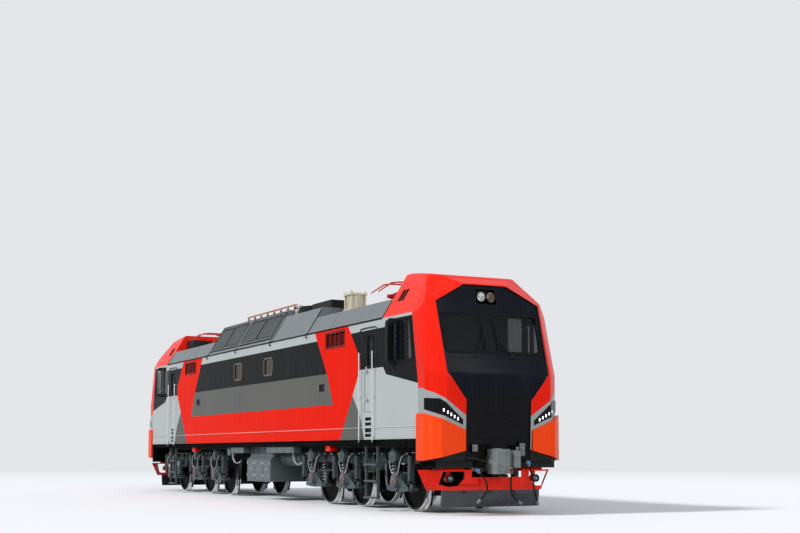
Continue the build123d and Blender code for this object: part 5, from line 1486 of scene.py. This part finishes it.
def set_bogies(name, shape, finish, slot, replaces=""):
    """Gives the shape, made on the right of the front bogie, to both sides of both bogies."""
    reflect(shape, "Y")
    for end_name, end in ENDS:
        copy = shape.copy()
        if end < 0:
            bmesh.ops.scale(copy, vec=(-1, 1, 1), verts=copy.verts)
        gone = (f"{end_name}_{replaces}",) if replaces else ()
        finish_piece(f"{end_name}_{name}", copy, finish, f"{end_name}_bogie", slot, gone)
    shape.free()


SPRING_SEAT = ((0, 0), (0.094, 0), (0.094, 0.018), (0.050, 0.020), (0.046, 0.050), (0, 0.052))
SPRING_CAP = ((0, 0), (0.094, 0), (0.094, 0.018), (0.050, 0.020), (0, 0.040))


def make_springs():
    """Double coil springs with their seats, beside each axlebox."""
    coils, seats = new_shapes(2)
    for axle in AXLES:
        for shift in (-0.400, 0.400):
            foot = Vector((axle + shift, -BEAM_Y, SPRING_FOOT))
            for radius, wire, turns, steps, sides in ((0.075, 0.0185, 6.2, 16, 8),
                                                      (0.038, 0.011, 8.2, 12, 6)):
                add_spring(coils, foot + up(0.016), SPRING_HEIGHT - 0.034, radius, wire, turns, steps, sides)
            add_turned(seats, foot, UP, SPRING_SEAT, 22)
            add_turned(seats, foot + up(SPRING_HEIGHT), (0, 0, -1), SPRING_CAP, 22)
    set_bogies("spring_coils", coils, spring_paint, "spring_steel", "springs")
    set_bogies("spring_seats", seats, under_dark, "frame_grey")


AXLEBOX_COVER = ((0.140, -0.002), (0.178, -0.002), (0.182, 0.020), (0.172, 0.034), (0.150, 0.038),
                 (0.146, 0.090), (0.140, 0.094), (0.140, -0.002))
AXLE_BOSS = ((0, 0), (0.108, 0), (0.108, 0.008), (0.090, 0.016), (0.046, 0.018), (0.042, 0.036), (0, 0.040))


def make_axlebox_covers():
    """Bolted end cover with a raised boss, wear plates and lifting lugs on each axlebox."""
    covers, bosses, bolts = new_shapes(3)
    for axle in AXLES:
        middle = Vector((axle, -1.290, AXLE_Z))
        add_turned(covers, middle, SIDE_OUT, AXLEBOX_COVER, 36)
        add_turned(bosses, Vector((axle, -1.3835, AXLE_Z)), SIDE_OUT, AXLE_BOSS, 28)
        add_bolts(bolts, Vector((axle, -1.324, AXLE_Z)), SIDE_OUT, 0.163, 8, 0.012, 0.016, 0.39)
        add_bolts(bolts, Vector((axle, -1.384, AXLE_Z)), SIDE_OUT, 0.122, 6, 0.009, 0.010)
        for shift in (-0.185, 0.185):
            add_box(covers, (axle + shift - 0.012, -1.300, AXLE_Z - 0.13),
                    (axle + shift + 0.012, -1.200, AXLE_Z + 0.16), 0.006)
            add_box(covers, (axle + 1.9 * shift - 0.05, -1.296, 0.480),
                    (axle + 1.9 * shift + 0.05, -1.286, 0.522), 0.006)
            add_plate(covers, [(axle + shift, -1.262, 0.535), (axle + 2.6 * shift, -1.262, 0.535),
                               (axle + shift, -1.262, 0.690)], (0, -0.020, 0), 0.0)
    set_bogies("axlebox_covers", covers, under_grey, "frame_grey")
    set_bogies("axle_end_bosses", bosses, cast_brown, "fitting_metal")
    set_bogies("axlebox_bolts", bolts, steel, "fitting_metal")


BRAKE_COVER = ((0.136, -0.080), (0.163, -0.080), (0.165, -0.052), (0.150, -0.050), (0.150, -0.004),
               (0.142, 0.006), (0.100, 0.010), (0.096, 0.028), (0.050, 0.034), (0.044, 0.044), (0.0, 0.046),
               (0.0, 0.0), (0.136, 0.0), (0.136, -0.080))
BRAKE_CYLINDER = ((0, 0), (0.108, 0), (0.130, 0.012), (0.130, 0.028), (0.118, 0.032), (0.118, 0.046),
                  (0.130, 0.050), (0.130, 0.066), (0.112, 0.074), (0.070, 0.100), (0.066, 0.235),
                  (0.052, 0.250), (0, 0.250))
BRAKE_VALVE = ((0, 0), (0.040, 0), (0.040, 0.030), (0.026, 0.036), (0.022, 0.046), (0, 0.046))


def make_brakes():
    """Brake cylinder fronts with flange, ribs and union, slack adjusters and shoe keys."""
    fronts, bolts, rods = new_shapes(3)
    for axle in AXLES:
        middle = Vector((axle - 0.060, -CYLINDER_Y, rail(1.170)))
        add_turned(fronts, middle, SIDE_OUT, BRAKE_COVER, 36)
        add_bolts(bolts, middle + Vector((0, -0.004, 0)), SIDE_OUT, 0.124, 8, 0.011, 0.012, 0.2)
        # The cylinder lies along the bogie behind its cover, with an adjuster ahead and a valve on top
        add_turned(fronts, middle + Vector((-0.145, 0.085, 0)), AHEAD, BRAKE_CYLINDER, 28)
        add_turned(fronts, middle + Vector((-0.02, 0.030, 0.140)), UP, BRAKE_VALVE, 16)
        for number in range(6):
            angle = math.tau * (number + 0.5) / 6
            away = Vector((math.cos(angle), 0, math.sin(angle)))
            add_block(fronts, middle + away * 0.145 + Vector((0, 0.030, 0)), (0.010, 0.060, 0.026),
                      Matrix.Rotation(-angle + math.pi / 2, 3, "Y"), 0.002)
        add_rod(rods, middle + Vector((0.05, 0.02, -0.13)), middle + Vector((0.20, 0.06, -0.36)), 0.024, 14)
        add_rod(rods, middle + Vector((0.09, 0.03, -0.19)), middle + Vector((0.17, 0.052, -0.315)), 0.036, 14)
        add_turned(rods, middle + Vector((0.205, 0.095, -0.37)), SIDE_OUT,
                   ((0, 0), (0.040, 0), (0.040, 0.060), (0, 0.060)), 16)
        add_pipe(rods, [middle + Vector((-0.02, 0, 0.15)), middle + Vector((-0.04, 0, 0.20)),
                        middle + Vector((-0.16, 0.04, 0.20)), middle + Vector((-0.26, 0.14, 0.10))], 0.011, 8)
    set_bogies("brake_cylinder_fronts", fronts, under_grey, "frame_grey")
    set_bogies("brake_cylinder_bolts", bolts, steel, "fitting_metal")
    set_bogies("brake_rods", rods, under_dark, "frame_grey")


DAMPER_BODY = ((0, 0.02), (0.038, 0.02), (0.046, 0.03), (0.046, 0.26), (0.056, 0.262), (0.056, 0.53),
               (0.050, 0.54), (0, 0.54))
DAMPER_EYE = ((0, 0), (0.036, 0), (0.036, 0.012), (0.044, 0.014), (0.044, 0.080), (0.024, 0.084),
              (0.022, 0.100), (0, 0.100))


def make_dampers():
    """Damper bodies: a wide dust tube over a thinner cylinder, with rubber eyes and pins."""
    tubes, eyes = new_shapes(2)
    low, high = rail(0.900) - 0.280, rail(0.900) + 0.280
    for along in (9.040, 6.340, 5.060, 3.160):
        foot = Vector((along, -1.285, low))
        add_turned(tubes, foot, UP, DAMPER_BODY, 20)
        for height in (low + 0.01, high - 0.01):
            add_turned(eyes, Vector((along, -1.235, height)), SIDE_OUT, DAMPER_EYE, 18)
    set_bogies("damper_tubes", tubes, damper_paint, "frame_grey")
    set_bogies("damper_eyes", eyes, black_rubber, "frame_grey")


# Cables from the side beam to the axlebox: place from the axle, across the bogie, above the rail
AXLE_CABLE_AHEAD = ((0.28, -1.240, 1.19), (0.30, -1.330, 1.17), (0.29, -1.370, 1.00), (0.22, -1.375, 0.82),
                    (0.10, -1.360, 0.76), (0.04, -1.340, 0.74))
AXLE_CABLE_BEHIND = ((-0.24, -1.240, 1.19), (-0.27, -1.345, 1.12), (-0.22, -1.350, 0.92),
                     (-0.12, -1.350, 0.80), (-0.05, -1.340, 0.745))


def make_bogie_lines():
    """Air pipes along the beam with clips, light cable loops to the axleboxes, and sand pipes."""
    pipes, cables, clips, sand = new_shapes(4)
    top = rail(1.245)
    for shift, radius in ((0.0, 0.014), (0.034, 0.010)):
        add_pipe(pipes, [(along, across - shift, top - drop) for along, across, drop in
                         ((9.20, -1.232, 0.06), (9.10, -1.238, 0.03), (8.90, -1.238, 0.03),
                          (3.30, -1.238, 0.03), (3.12, -1.238, 0.03), (3.02, -1.232, 0.10))], radius, 8, 4)
    for number in range(15):
        along = 3.25 + 0.40 * number
        add_box(clips, (along - 0.014, -1.290, top - 0.048), (along + 0.014, -1.222, top - 0.008), 0.004)
    for axle in AXLES:
        for radius, route in ((0.011, AXLE_CABLE_AHEAD), (0.009, AXLE_CABLE_BEHIND)):
            add_pipe(cables, [(axle + along, across, rail(height)) for along, across, height in route],
                     radius, 8)
        for shift in (-0.75, 0.75):
            if axle == AXLES[1] and shift > 0:
                continue
            outer = axle + shift
            add_pipe(sand, [(outer, -1.06, rail(1.05)), (outer, -0.86, rail(0.80)),
                            (outer - 0.06 * shift, -0.80, rail(0.45)),
                            (axle + 0.86 * shift, -0.79, rail(0.20)),
                            (axle + 0.78 * shift, -0.785, rail(0.13))], 0.020, 8)
            add_rod(sand, (axle + 0.84 * shift, -0.787, rail(0.17)),
                    (axle + 0.775 * shift, -0.785, rail(0.125)), 0.030, 12, 0.022)
    set_bogies("air_pipes", pipes, under_dark, "frame_grey")
    set_bogies("pipe_clips", clips, steel, "frame_grey")
    set_bogies("sensor_cables", cables, light_paint, "hose_rubber")
    set_bogies("sand_pipes", sand, under_dark, "frame_grey")


# Outline of a wheel guard: place from the axle, above the rail
WHEEL_GUARD = ((0.60, 1.00), (0.70, 1.00), (0.66, 0.60), (0.56, 0.42), (0.525, 0.50), (0.57, 0.66))


def make_frame_dress():
    """Ribs, guards and step brackets welded on the side beams."""
    ribs, guards, bolts = new_shapes(3)
    low, high = rail(1.01), rail(1.23)
    for along in (9.10, 7.82, 7.20, 6.90, 6.45, 5.12, 4.42, 3.20):
        add_plate(ribs, [(along, -1.222, low), (along, -1.222, high - 0.02), (along, -1.300, high - 0.02)],
                  (0.014, 0, 0))
    for edge in (low + 0.006, high - 0.006):
        add_box(ribs, (2.95, -1.236, edge - 0.010), (9.28, -1.222, edge + 0.010), 0.004)
    for axle in AXLES:
        for side in (-1, 1):
            corners = [(axle + side * along, -1.228, rail(height)) for along, height in WHEEL_GUARD]
            add_plate(guards, corners[::side], SIDE_OUT * 0.016)
            add_bolts(bolts, (axle + side * 0.63, -1.244, rail(0.93)), SIDE_OUT, 0.025, 3, 0.009, 0.010)
    for along in (7.05, 4.75):
        add_box(ribs, (along - 0.30, -1.300, rail(0.80)), (along + 0.30, -1.235, rail(0.845)), 0.006)
        for edge in (along - 0.30, along + 0.26):
            add_box(ribs, (edge, -1.290, rail(0.80)), (edge + 0.04, -1.230, rail(1.02)), 0.004)
    set_bogies("frame_ribs", ribs, bogie_frame_shade, "frame_grey")
    set_bogies("wheel_guards", guards, under_grey, "frame_grey")
    set_bogies("guard_bolts", bolts, steel, "frame_grey")


make_springs()
make_axlebox_covers()
make_brakes()
make_dampers()
make_bogie_lines()
make_frame_dress()


# Underframe gear, coupler and hose fittings, and the inside of the cabs


def make_battery_doors():
    """Doors, latches and ribs of the battery box, and ribs of the ducts beside it."""
    doors, latches, ribs = new_shapes(3)
    face = 1.400
    for left, right in ((-0.72, -0.13), (-0.10, 0.49), (0.52, 1.04)):
        add_plate(doors, rectangle(wall_place, left, right, 0.50, 1.035, -0.152), SIDE_OUT * 0.014,
                  0.02, 3, 0.003)
        for height in (0.60, 0.93):
            add_box(latches, (right - 0.075, -face - 0.024, rail(height)),
                    (right - 0.045, -face - 0.010, rail(height) + 0.06), 0.004)
            add_rod(latches, (left + 0.012, -face - 0.016, rail(height)),
                    (left + 0.012, -face - 0.016, rail(height) + 0.07), 0.009, 10)
        middle = (left + right) / 2
        add_pipe(latches, [(middle + shift, -face - proud, rail(0.80)) for shift, proud in
                           ((-0.07, 0.010), (-0.07, 0.042), (0.07, 0.042), (0.07, 0.010))], 0.007, 8)
    for height in (1.052, 0.462):
        add_box(ribs, (-0.755, -1.408, rail(height)), (1.075, -1.385, rail(height + 0.020)), 0.004)
    for along in (-0.60, -0.10, 0.42, 0.92):
        add_box(ribs, (along, -1.312, rail(1.16)), (along + 0.03, -1.296, rail(1.44)), 0.003)
    for along in (-1.60, -1.20, 1.30, 1.80, 2.30, 2.80):
        add_box(ribs, (along, -1.530, rail(1.225)), (along + 0.04, -1.505, rail(1.395)), 0.003)
        add_rod(ribs, (along + 0.02, -1.535, rail(1.25)), (along + 0.02, -1.526, rail(1.25)), 0.010, 6)
    finish_sides("battery_box_doors", doors, box_grey, "frame_grey")
    finish_sides("battery_box_latches", latches, steel, "rail_steel")
    finish_sides("battery_box_ribs", ribs, box_grey, "frame_grey")


TANK_CAP = ((0.205, -0.01), (0.209, 0.0), (0.19, 0.030), (0.12, 0.052), (0.04, 0.060),
            (0.04, 0.085), (0, 0.085))


def make_underfloor():
    """Reservoir straps and caps, sill conduits, junction boxes and drop cables beside the middle boxes."""
    straps, lines, boxes = new_shapes(3)
    for along in (1.60, 2.40):
        add_ring(straps, (along, -1.000, rail(1.10)), AHEAD, 0.210, 0.222, 0.050, 40)
    for along in (1.298, 2.702):
        way = 1 if along > 2 else -1
        add_turned(straps, (along, -1.000, rail(1.10)), (way, 0, 0), TANK_CAP, 36)
    for height, radius in ((1.365, 0.022), (1.315, 0.016)):
        add_pipe(lines, [(along, -1.345, rail(height)) for along in (-2.60, -2.40, -1.90, -1.80)], radius, 8)
    for along in (2.66, 2.72, -1.95, -2.02):
        add_pipe(lines, [(along, -1.40, rail(1.39)), (along, -1.42, rail(1.20)),
                         (along + 0.05, -1.38, rail(0.98)), (along + 0.16, -1.30, rail(0.92)),
                         (along + 0.20, -1.24, rail(1.00))], 0.012, 8)
    for along in (-2.25, 1.16):
        add_box(boxes, (along, -1.470, rail(1.16)), (along + 0.24, -1.30, rail(1.39)), 0.012, 2)
        add_bolts(boxes, (along + 0.12, -1.470, rail(1.275)), SIDE_OUT, 0.10, 4, 0.008, 0.008, 0.785)
    finish_sides("reservoir_straps", straps, box_grey, "frame_grey")
    finish_sides("underfloor_conduits", lines, light_paint, "hose_rubber")
    finish_sides("junction_boxes", boxes, box_grey, "frame_grey")


def make_floor_ducts():
    """Cable ducts and an air duct under the floor over each bogie, with joint bands and hangers; being dark,
    they also stand in for the shade in the gap under the floor.
    """
    ducts, bands = new_shapes(2)
    for low, high, bottom in ((0.84, 1.06, 1.375), (0.27, 0.55, 1.275)):
        add_box(ducts, (2.75, -high, bottom), (9.60, -low, 1.500), 0.006)
        for number in range(18):
            along = 2.90 + 0.38 * number
            add_box(bands, (along, -high - 0.006, bottom - 0.003), (along + 0.035, -low + 0.006, 1.495),
                    0.002)
    for number in range(9):
        along = 3.10 + 0.78 * number
        if 7.15 < along < 8.00:
            continue
        add_box(bands, (along, -1.30, 1.428), (along + 0.05, -1.04, 1.500), 0.004)
    for across, radius in ((-1.20, 0.020), (-1.26, 0.014)):
        add_pipe(bands, [(along, across, 1.470) for along in (2.75, 3.00, 9.30, 9.60)], radius, 8)
    # Dark ducts fill the gap between bogie frame and floor, standing in for the shade there.
    finish_corners("floor_ducts", ducts, under_dark, "frame_grey")
    finish_corners("floor_duct_bands", bands, under_grey, "frame_grey")


def make_sill_dress():
    """Sill flange with bolts, ladder tread plates and their toe guards, and bracket bolts."""
    bolts, treads = new_shapes(2)
    for number in range(48):
        along = 0.20 + 0.20 * number
        if 7.2 < along < 7.95:
            continue
        add_rod(bolts, (along, -1.548, rail(1.445)), (along, -1.557, rail(1.445)), 0.009, 6)
    for shift in (-0.09, 0.0, 0.09):
        add_rod(bolts, (5.25 + shift, -1.549, rail(1.36)), (5.25 + shift, -1.560, rail(1.36)), 0.012, 6)
    for height in (0.250, 0.610, 0.970):
        for row in range(5):
            add_box(treads, (7.285, -1.540 + 0.022 * row, rail(height) + 0.023),
                    (7.875, -1.531 + 0.022 * row, rail(height) + 0.029))
        add_box(treads, (7.275, -1.553, rail(height) - 0.010), (7.885, -1.549, rail(height) + 0.030), 0.001)
    finish_corners("sill_bolts", bolts, under_dark, "frame_grey")
    finish_corners("ladder_treads", treads, under_grey, "rail_steel")


COUPLER_BOSS = ((0, 0), (0.075, 0), (0.075, 0.012), (0.050, 0.026), (0.050, 0.040), (0, 0.044))


def make_coupler_dress():
    """Lock, lifting lever and wear faces of the coupler head, and its release rod."""
    cast, rods = new_shapes(2)
    add_box(cast, (10.68, 0.060, rail(0.97)), (10.745, 0.115, rail(1.20)), 0.012, 2)
    add_box(cast, (10.56, -0.20, rail(1.305)), (10.76, -0.10, rail(1.325)), 0.006)
    add_box(cast, (10.55, 0.19, rail(1.265)), (10.72, 0.30, rail(1.285)), 0.006)
    add_turned(cast, (10.60, -0.262, rail(1.05)), (-0.13, -1, 0), COUPLER_BOSS, 22)
    for row in range(4):
        add_box(cast, (10.840, -0.225, rail(0.86 + 0.12 * row)), (10.849, -0.075, rail(0.90 + 0.12 * row)),
                0.003)
    add_pipe(rods, [(along, across, rail(height)) for along, across, height in
                    ((10.60, -0.30, 1.05), (10.58, -0.42, 1.06), (10.54, -0.55, 1.12), (10.530, -0.72, 1.13),
                     (10.520, -0.96, 1.13), (10.48, -1.04, 1.10), (10.40, -1.05, 1.08),
                     (10.376, -1.05, 1.08))], 0.011, 8)
    add_box(rods, (10.380, -0.735, rail(1.105)), (10.545, -0.715, rail(1.155)), 0.004)
    finish_ends("coupler_wear_parts", cast, cast_grey, "fitting_metal")
    finish_ends("uncoupling_rods", rods, under_dark, "fitting_metal")


COCK_BODY = ((0, 0), (0.030, 0), (0.036, 0.012), (0.036, 0.040), (0.028, 0.052), (0.028, 0.075),
             (0.022, 0.080), (0.022, 0.0), (0, 0))


def make_hose_cocks():
    """Cock bodies with coloured handles at the top of each front hose."""
    bodies, blue, red = new_shapes(3)
    for (_, _, route), handle in zip(HOSES, (blue, red, blue)):
        x, y, z = route[0]
        top = Vector((x, y, rail(z)))
        down = (Vector((route[1][0], route[1][1], rail(route[1][2]))) - top).normalized()
        add_turned(bodies, top - down * 0.035, down, COCK_BODY, 18)
        add_ring(bodies, top + down * 0.040, down, 0.0205, 0.027, 0.028, 18)
        add_turned(handle, top + Vector((0.020, 0, 0.020)), (1, 0, 0.2),
                   ((0, 0), (0.024, 0), (0.024, 0.022), (0, 0.026)), 16)
        add_block(handle, top + Vector((0.046, -0.030, 0.034)), (0.012, 0.105, 0.024),
                  Matrix.Rotation(0.4, 3, "X"), 0.005)
    finish_piece("hose_cock_bodies", bodies, cast_grey, slot="fitting_metal")
    finish_piece("hose_cock_handles_blue", blue, cock_blue, slot="fitting_metal")
    finish_piece("hose_cock_handles_red", red, cock_red, slot="fitting_metal")


def make_cab_interior():
    """Seat cushions, screens and top of the desk, the folded blind and the rear lining of each cab."""
    cushions, screens, desks, blinds, walls = new_shapes(5)
    for across in (-0.65, 0.65):
        add_block(cushions, (9.00, across, rail(2.215)), (0.42, 0.44, 0.09), None, 0.040, 3)
        lean = Matrix.Rotation(-0.16, 3, "Y")
        add_block(cushions, (8.735, across, rail(2.56)), (0.10, 0.42, 0.62), lean, 0.045, 3)
        add_block(cushions, (8.665, across, rail(2.98)), (0.09, 0.26, 0.17), lean, 0.040, 3)
        for shift in (-0.24, 0.24):
            add_block(cushions, (8.93, across + shift, rail(2.42)), (0.30, 0.055, 0.05), None, 0.020, 2)
        for shift in (-0.27, 0.0, 0.27):
            add_block(screens, (9.70, across + shift, rail(3.235)), (0.04, 0.24, 0.19),
                      Matrix.Rotation(-0.35, 3, "Y"), 0.010, 2)
    add_box(desks, (9.66, -1.30, rail(3.13)), (10.02, 1.30, rail(3.165)), 0.010, 2)
    add_box(blinds, (9.98, -1.02, rail(4.08)), (10.005, 1.02, rail(4.12)), 0.006)
    for number in range(7):
        along, across = 9.975 - 0.004 * number, 0.56 + 0.050 * number
        add_rod(blinds, (along, across, rail(3.33)), (along, across, rail(4.06)), 0.026, 8)
    for side in (-1, 1):
        add_box(walls, (7.975, side * 0.36, rail(1.60)), (7.985, side * 1.42, rail(4.05)))
    finish_ends("seat_cushions", cushions, seat_cloth, "trim_black")
    finish_ends("desk_screens", screens, black_gloss, "trim_black")
    finish_ends("desk_tops", desks, cab_plastic_and_shade, "trim_black")
    finish_ends("windscreen_blinds", blinds, curtain_cloth, "trim_black")
    finish_ends("cab_rear_linings", walls, cab_plastic_and_shade, "plain_block")


make_battery_doors()
make_underfloor()
make_floor_ducts()
make_sill_dress()
make_coupler_dress()
make_hose_cocks()
make_cab_interior()


# The stage: floor, lights and world
BACKDROP = srgb(228, 230, 233)
FLOOR_SIZE = 300.0
# The floor runs over into the plain backdrop between these distances
FADE_NEAR, FADE_FAR = 20.0, 60.0
FILL_COLOUR, FILL_STRENGTH = (0.80, 0.84, 0.90, 1.0), 0.54
# Each sun: its name, the way it shines, its strength and its width in degrees
SUNS = (("key", (0.10, 0.74, -0.60), 2.30, 8.0), ("front_fill", (-0.95, 0.10, -0.25), 1.45, 40.0))
SHEEN_PLACE, SHEEN_TARGET, SHEEN_TURN = Vector((24.5, 9.4, 14.0)), Vector((10.4, 0.0, 3.2)), 28.0
SHEEN_WIDTH, SHEEN_LENGTH, SHEEN_POWER = 1.2, 6.0, 75.0


def make_floor():
    """A plain pale floor: bright to the eye, a middle grey to the light that it returns upwards."""
    shape = bmesh.new()
    bmesh.ops.create_grid(shape, x_segments=1, y_segments=1, size=FLOOR_SIZE)
    mesh = bpy.data.meshes.new("floor")
    shape.to_mesh(mesh)
    shape.free()
    floor = bpy.data.objects.new("floor", mesh)
    bpy.context.scene.collection.objects.link(floor)
    ground = Finish("studio_floor", BACKDROP, 0.9, specular=0.0)
    path = ground.node("ShaderNodeLightPath")
    looked_at = ground.either(path.outputs["Is Camera Ray"], path.outputs["Is Glossy Ray"],
                              path.outputs["Is Transmission Ray"])
    ground.set("Base Color", ground.mix(looked_at, srgb(150, 150, 150), srgb(244, 245, 247)))
    plain = ground.node("ShaderNodeEmission")
    plain.inputs["Color"].default_value = BACKDROP
    blend = ground.node("ShaderNodeMixShader")
    far = ground.node("ShaderNodeVectorMath", operation="LENGTH")
    ground.plug(far.inputs[0], ground.place())
    fade = ground.ramp(far.outputs["Value"], FADE_NEAR, FADE_FAR)
    ground.plug(blend.inputs[0], ground.both(fade, looked_at))
    ground.plug(blend.inputs[1], ground.shader.outputs[0])
    ground.plug(blend.inputs[2], plain.outputs[0])
    ground.plug(ground.tree.nodes["Material Output"].inputs["Surface"], blend.outputs[0])
    mesh.materials.append(ground.material)


def make_lights():
    """A pale world for fill, a sun from the visible side, a wide one from ahead, and a soft box."""
    world = bpy.data.worlds.new("studio")
    bpy.context.scene.world = world
    world.use_nodes = True
    tree = world.node_tree
    fill = tree.nodes["Background"]
    fill.inputs["Color"].default_value = FILL_COLOUR
    fill.inputs["Strength"].default_value = FILL_STRENGTH
    backdrop = tree.nodes.new("ShaderNodeBackground")
    backdrop.inputs["Color"].default_value = BACKDROP
    backdrop.inputs["Strength"].default_value = 1.0
    path = tree.nodes.new("ShaderNodeLightPath")
    seen = path.outputs["Is Camera Ray"]
    for ray in ("Is Glossy Ray", "Is Transmission Ray"):
        either = tree.nodes.new("ShaderNodeMath")
        either.operation = "MAXIMUM"
        tree.links.new(seen, either.inputs[0])
        tree.links.new(path.outputs[ray], either.inputs[1])
        seen = either.outputs[0]
    mixer = tree.nodes.new("ShaderNodeMixShader")
    tree.links.new(seen, mixer.inputs[0])
    tree.links.new(fill.outputs[0], mixer.inputs[1])
    tree.links.new(backdrop.outputs[0], mixer.inputs[2])
    tree.links.new(mixer.outputs[0], tree.nodes["World Output"].inputs["Surface"])
    for name, towards, power, size in SUNS:
        lamp = bpy.data.lights.new(name, "SUN")
        lamp.energy = power
        lamp.angle = math.radians(size)
        holder = bpy.data.objects.new(name, lamp)
        bpy.context.scene.collection.objects.link(holder)
        holder.rotation_mode = "QUATERNION"
        holder.rotation_quaternion = Vector(towards).to_track_quat("-Z", "Y")
    # A long soft box ahead of the nose gives the windscreen and the black panel a slanting sheen
    soft_box = bpy.data.lights.new("sheen", "AREA")
    soft_box.shape = "RECTANGLE"
    soft_box.size = SHEEN_WIDTH
    soft_box.size_y = SHEEN_LENGTH
    soft_box.energy = SHEEN_POWER
    holder = bpy.data.objects.new("sheen", soft_box)
    bpy.context.scene.collection.objects.link(holder)
    holder.location = SHEEN_PLACE
    aim = (SHEEN_TARGET - SHEEN_PLACE).to_track_quat("-Z", "Y")
    holder.rotation_mode = "QUATERNION"
    holder.rotation_quaternion = aim @ Matrix.Rotation(math.radians(SHEEN_TURN), 3, "Z").to_quaternion()
    holder.visible_camera = False


make_floor()
make_lights()
bpy.context.scene.view_settings.view_transform = "Standard"
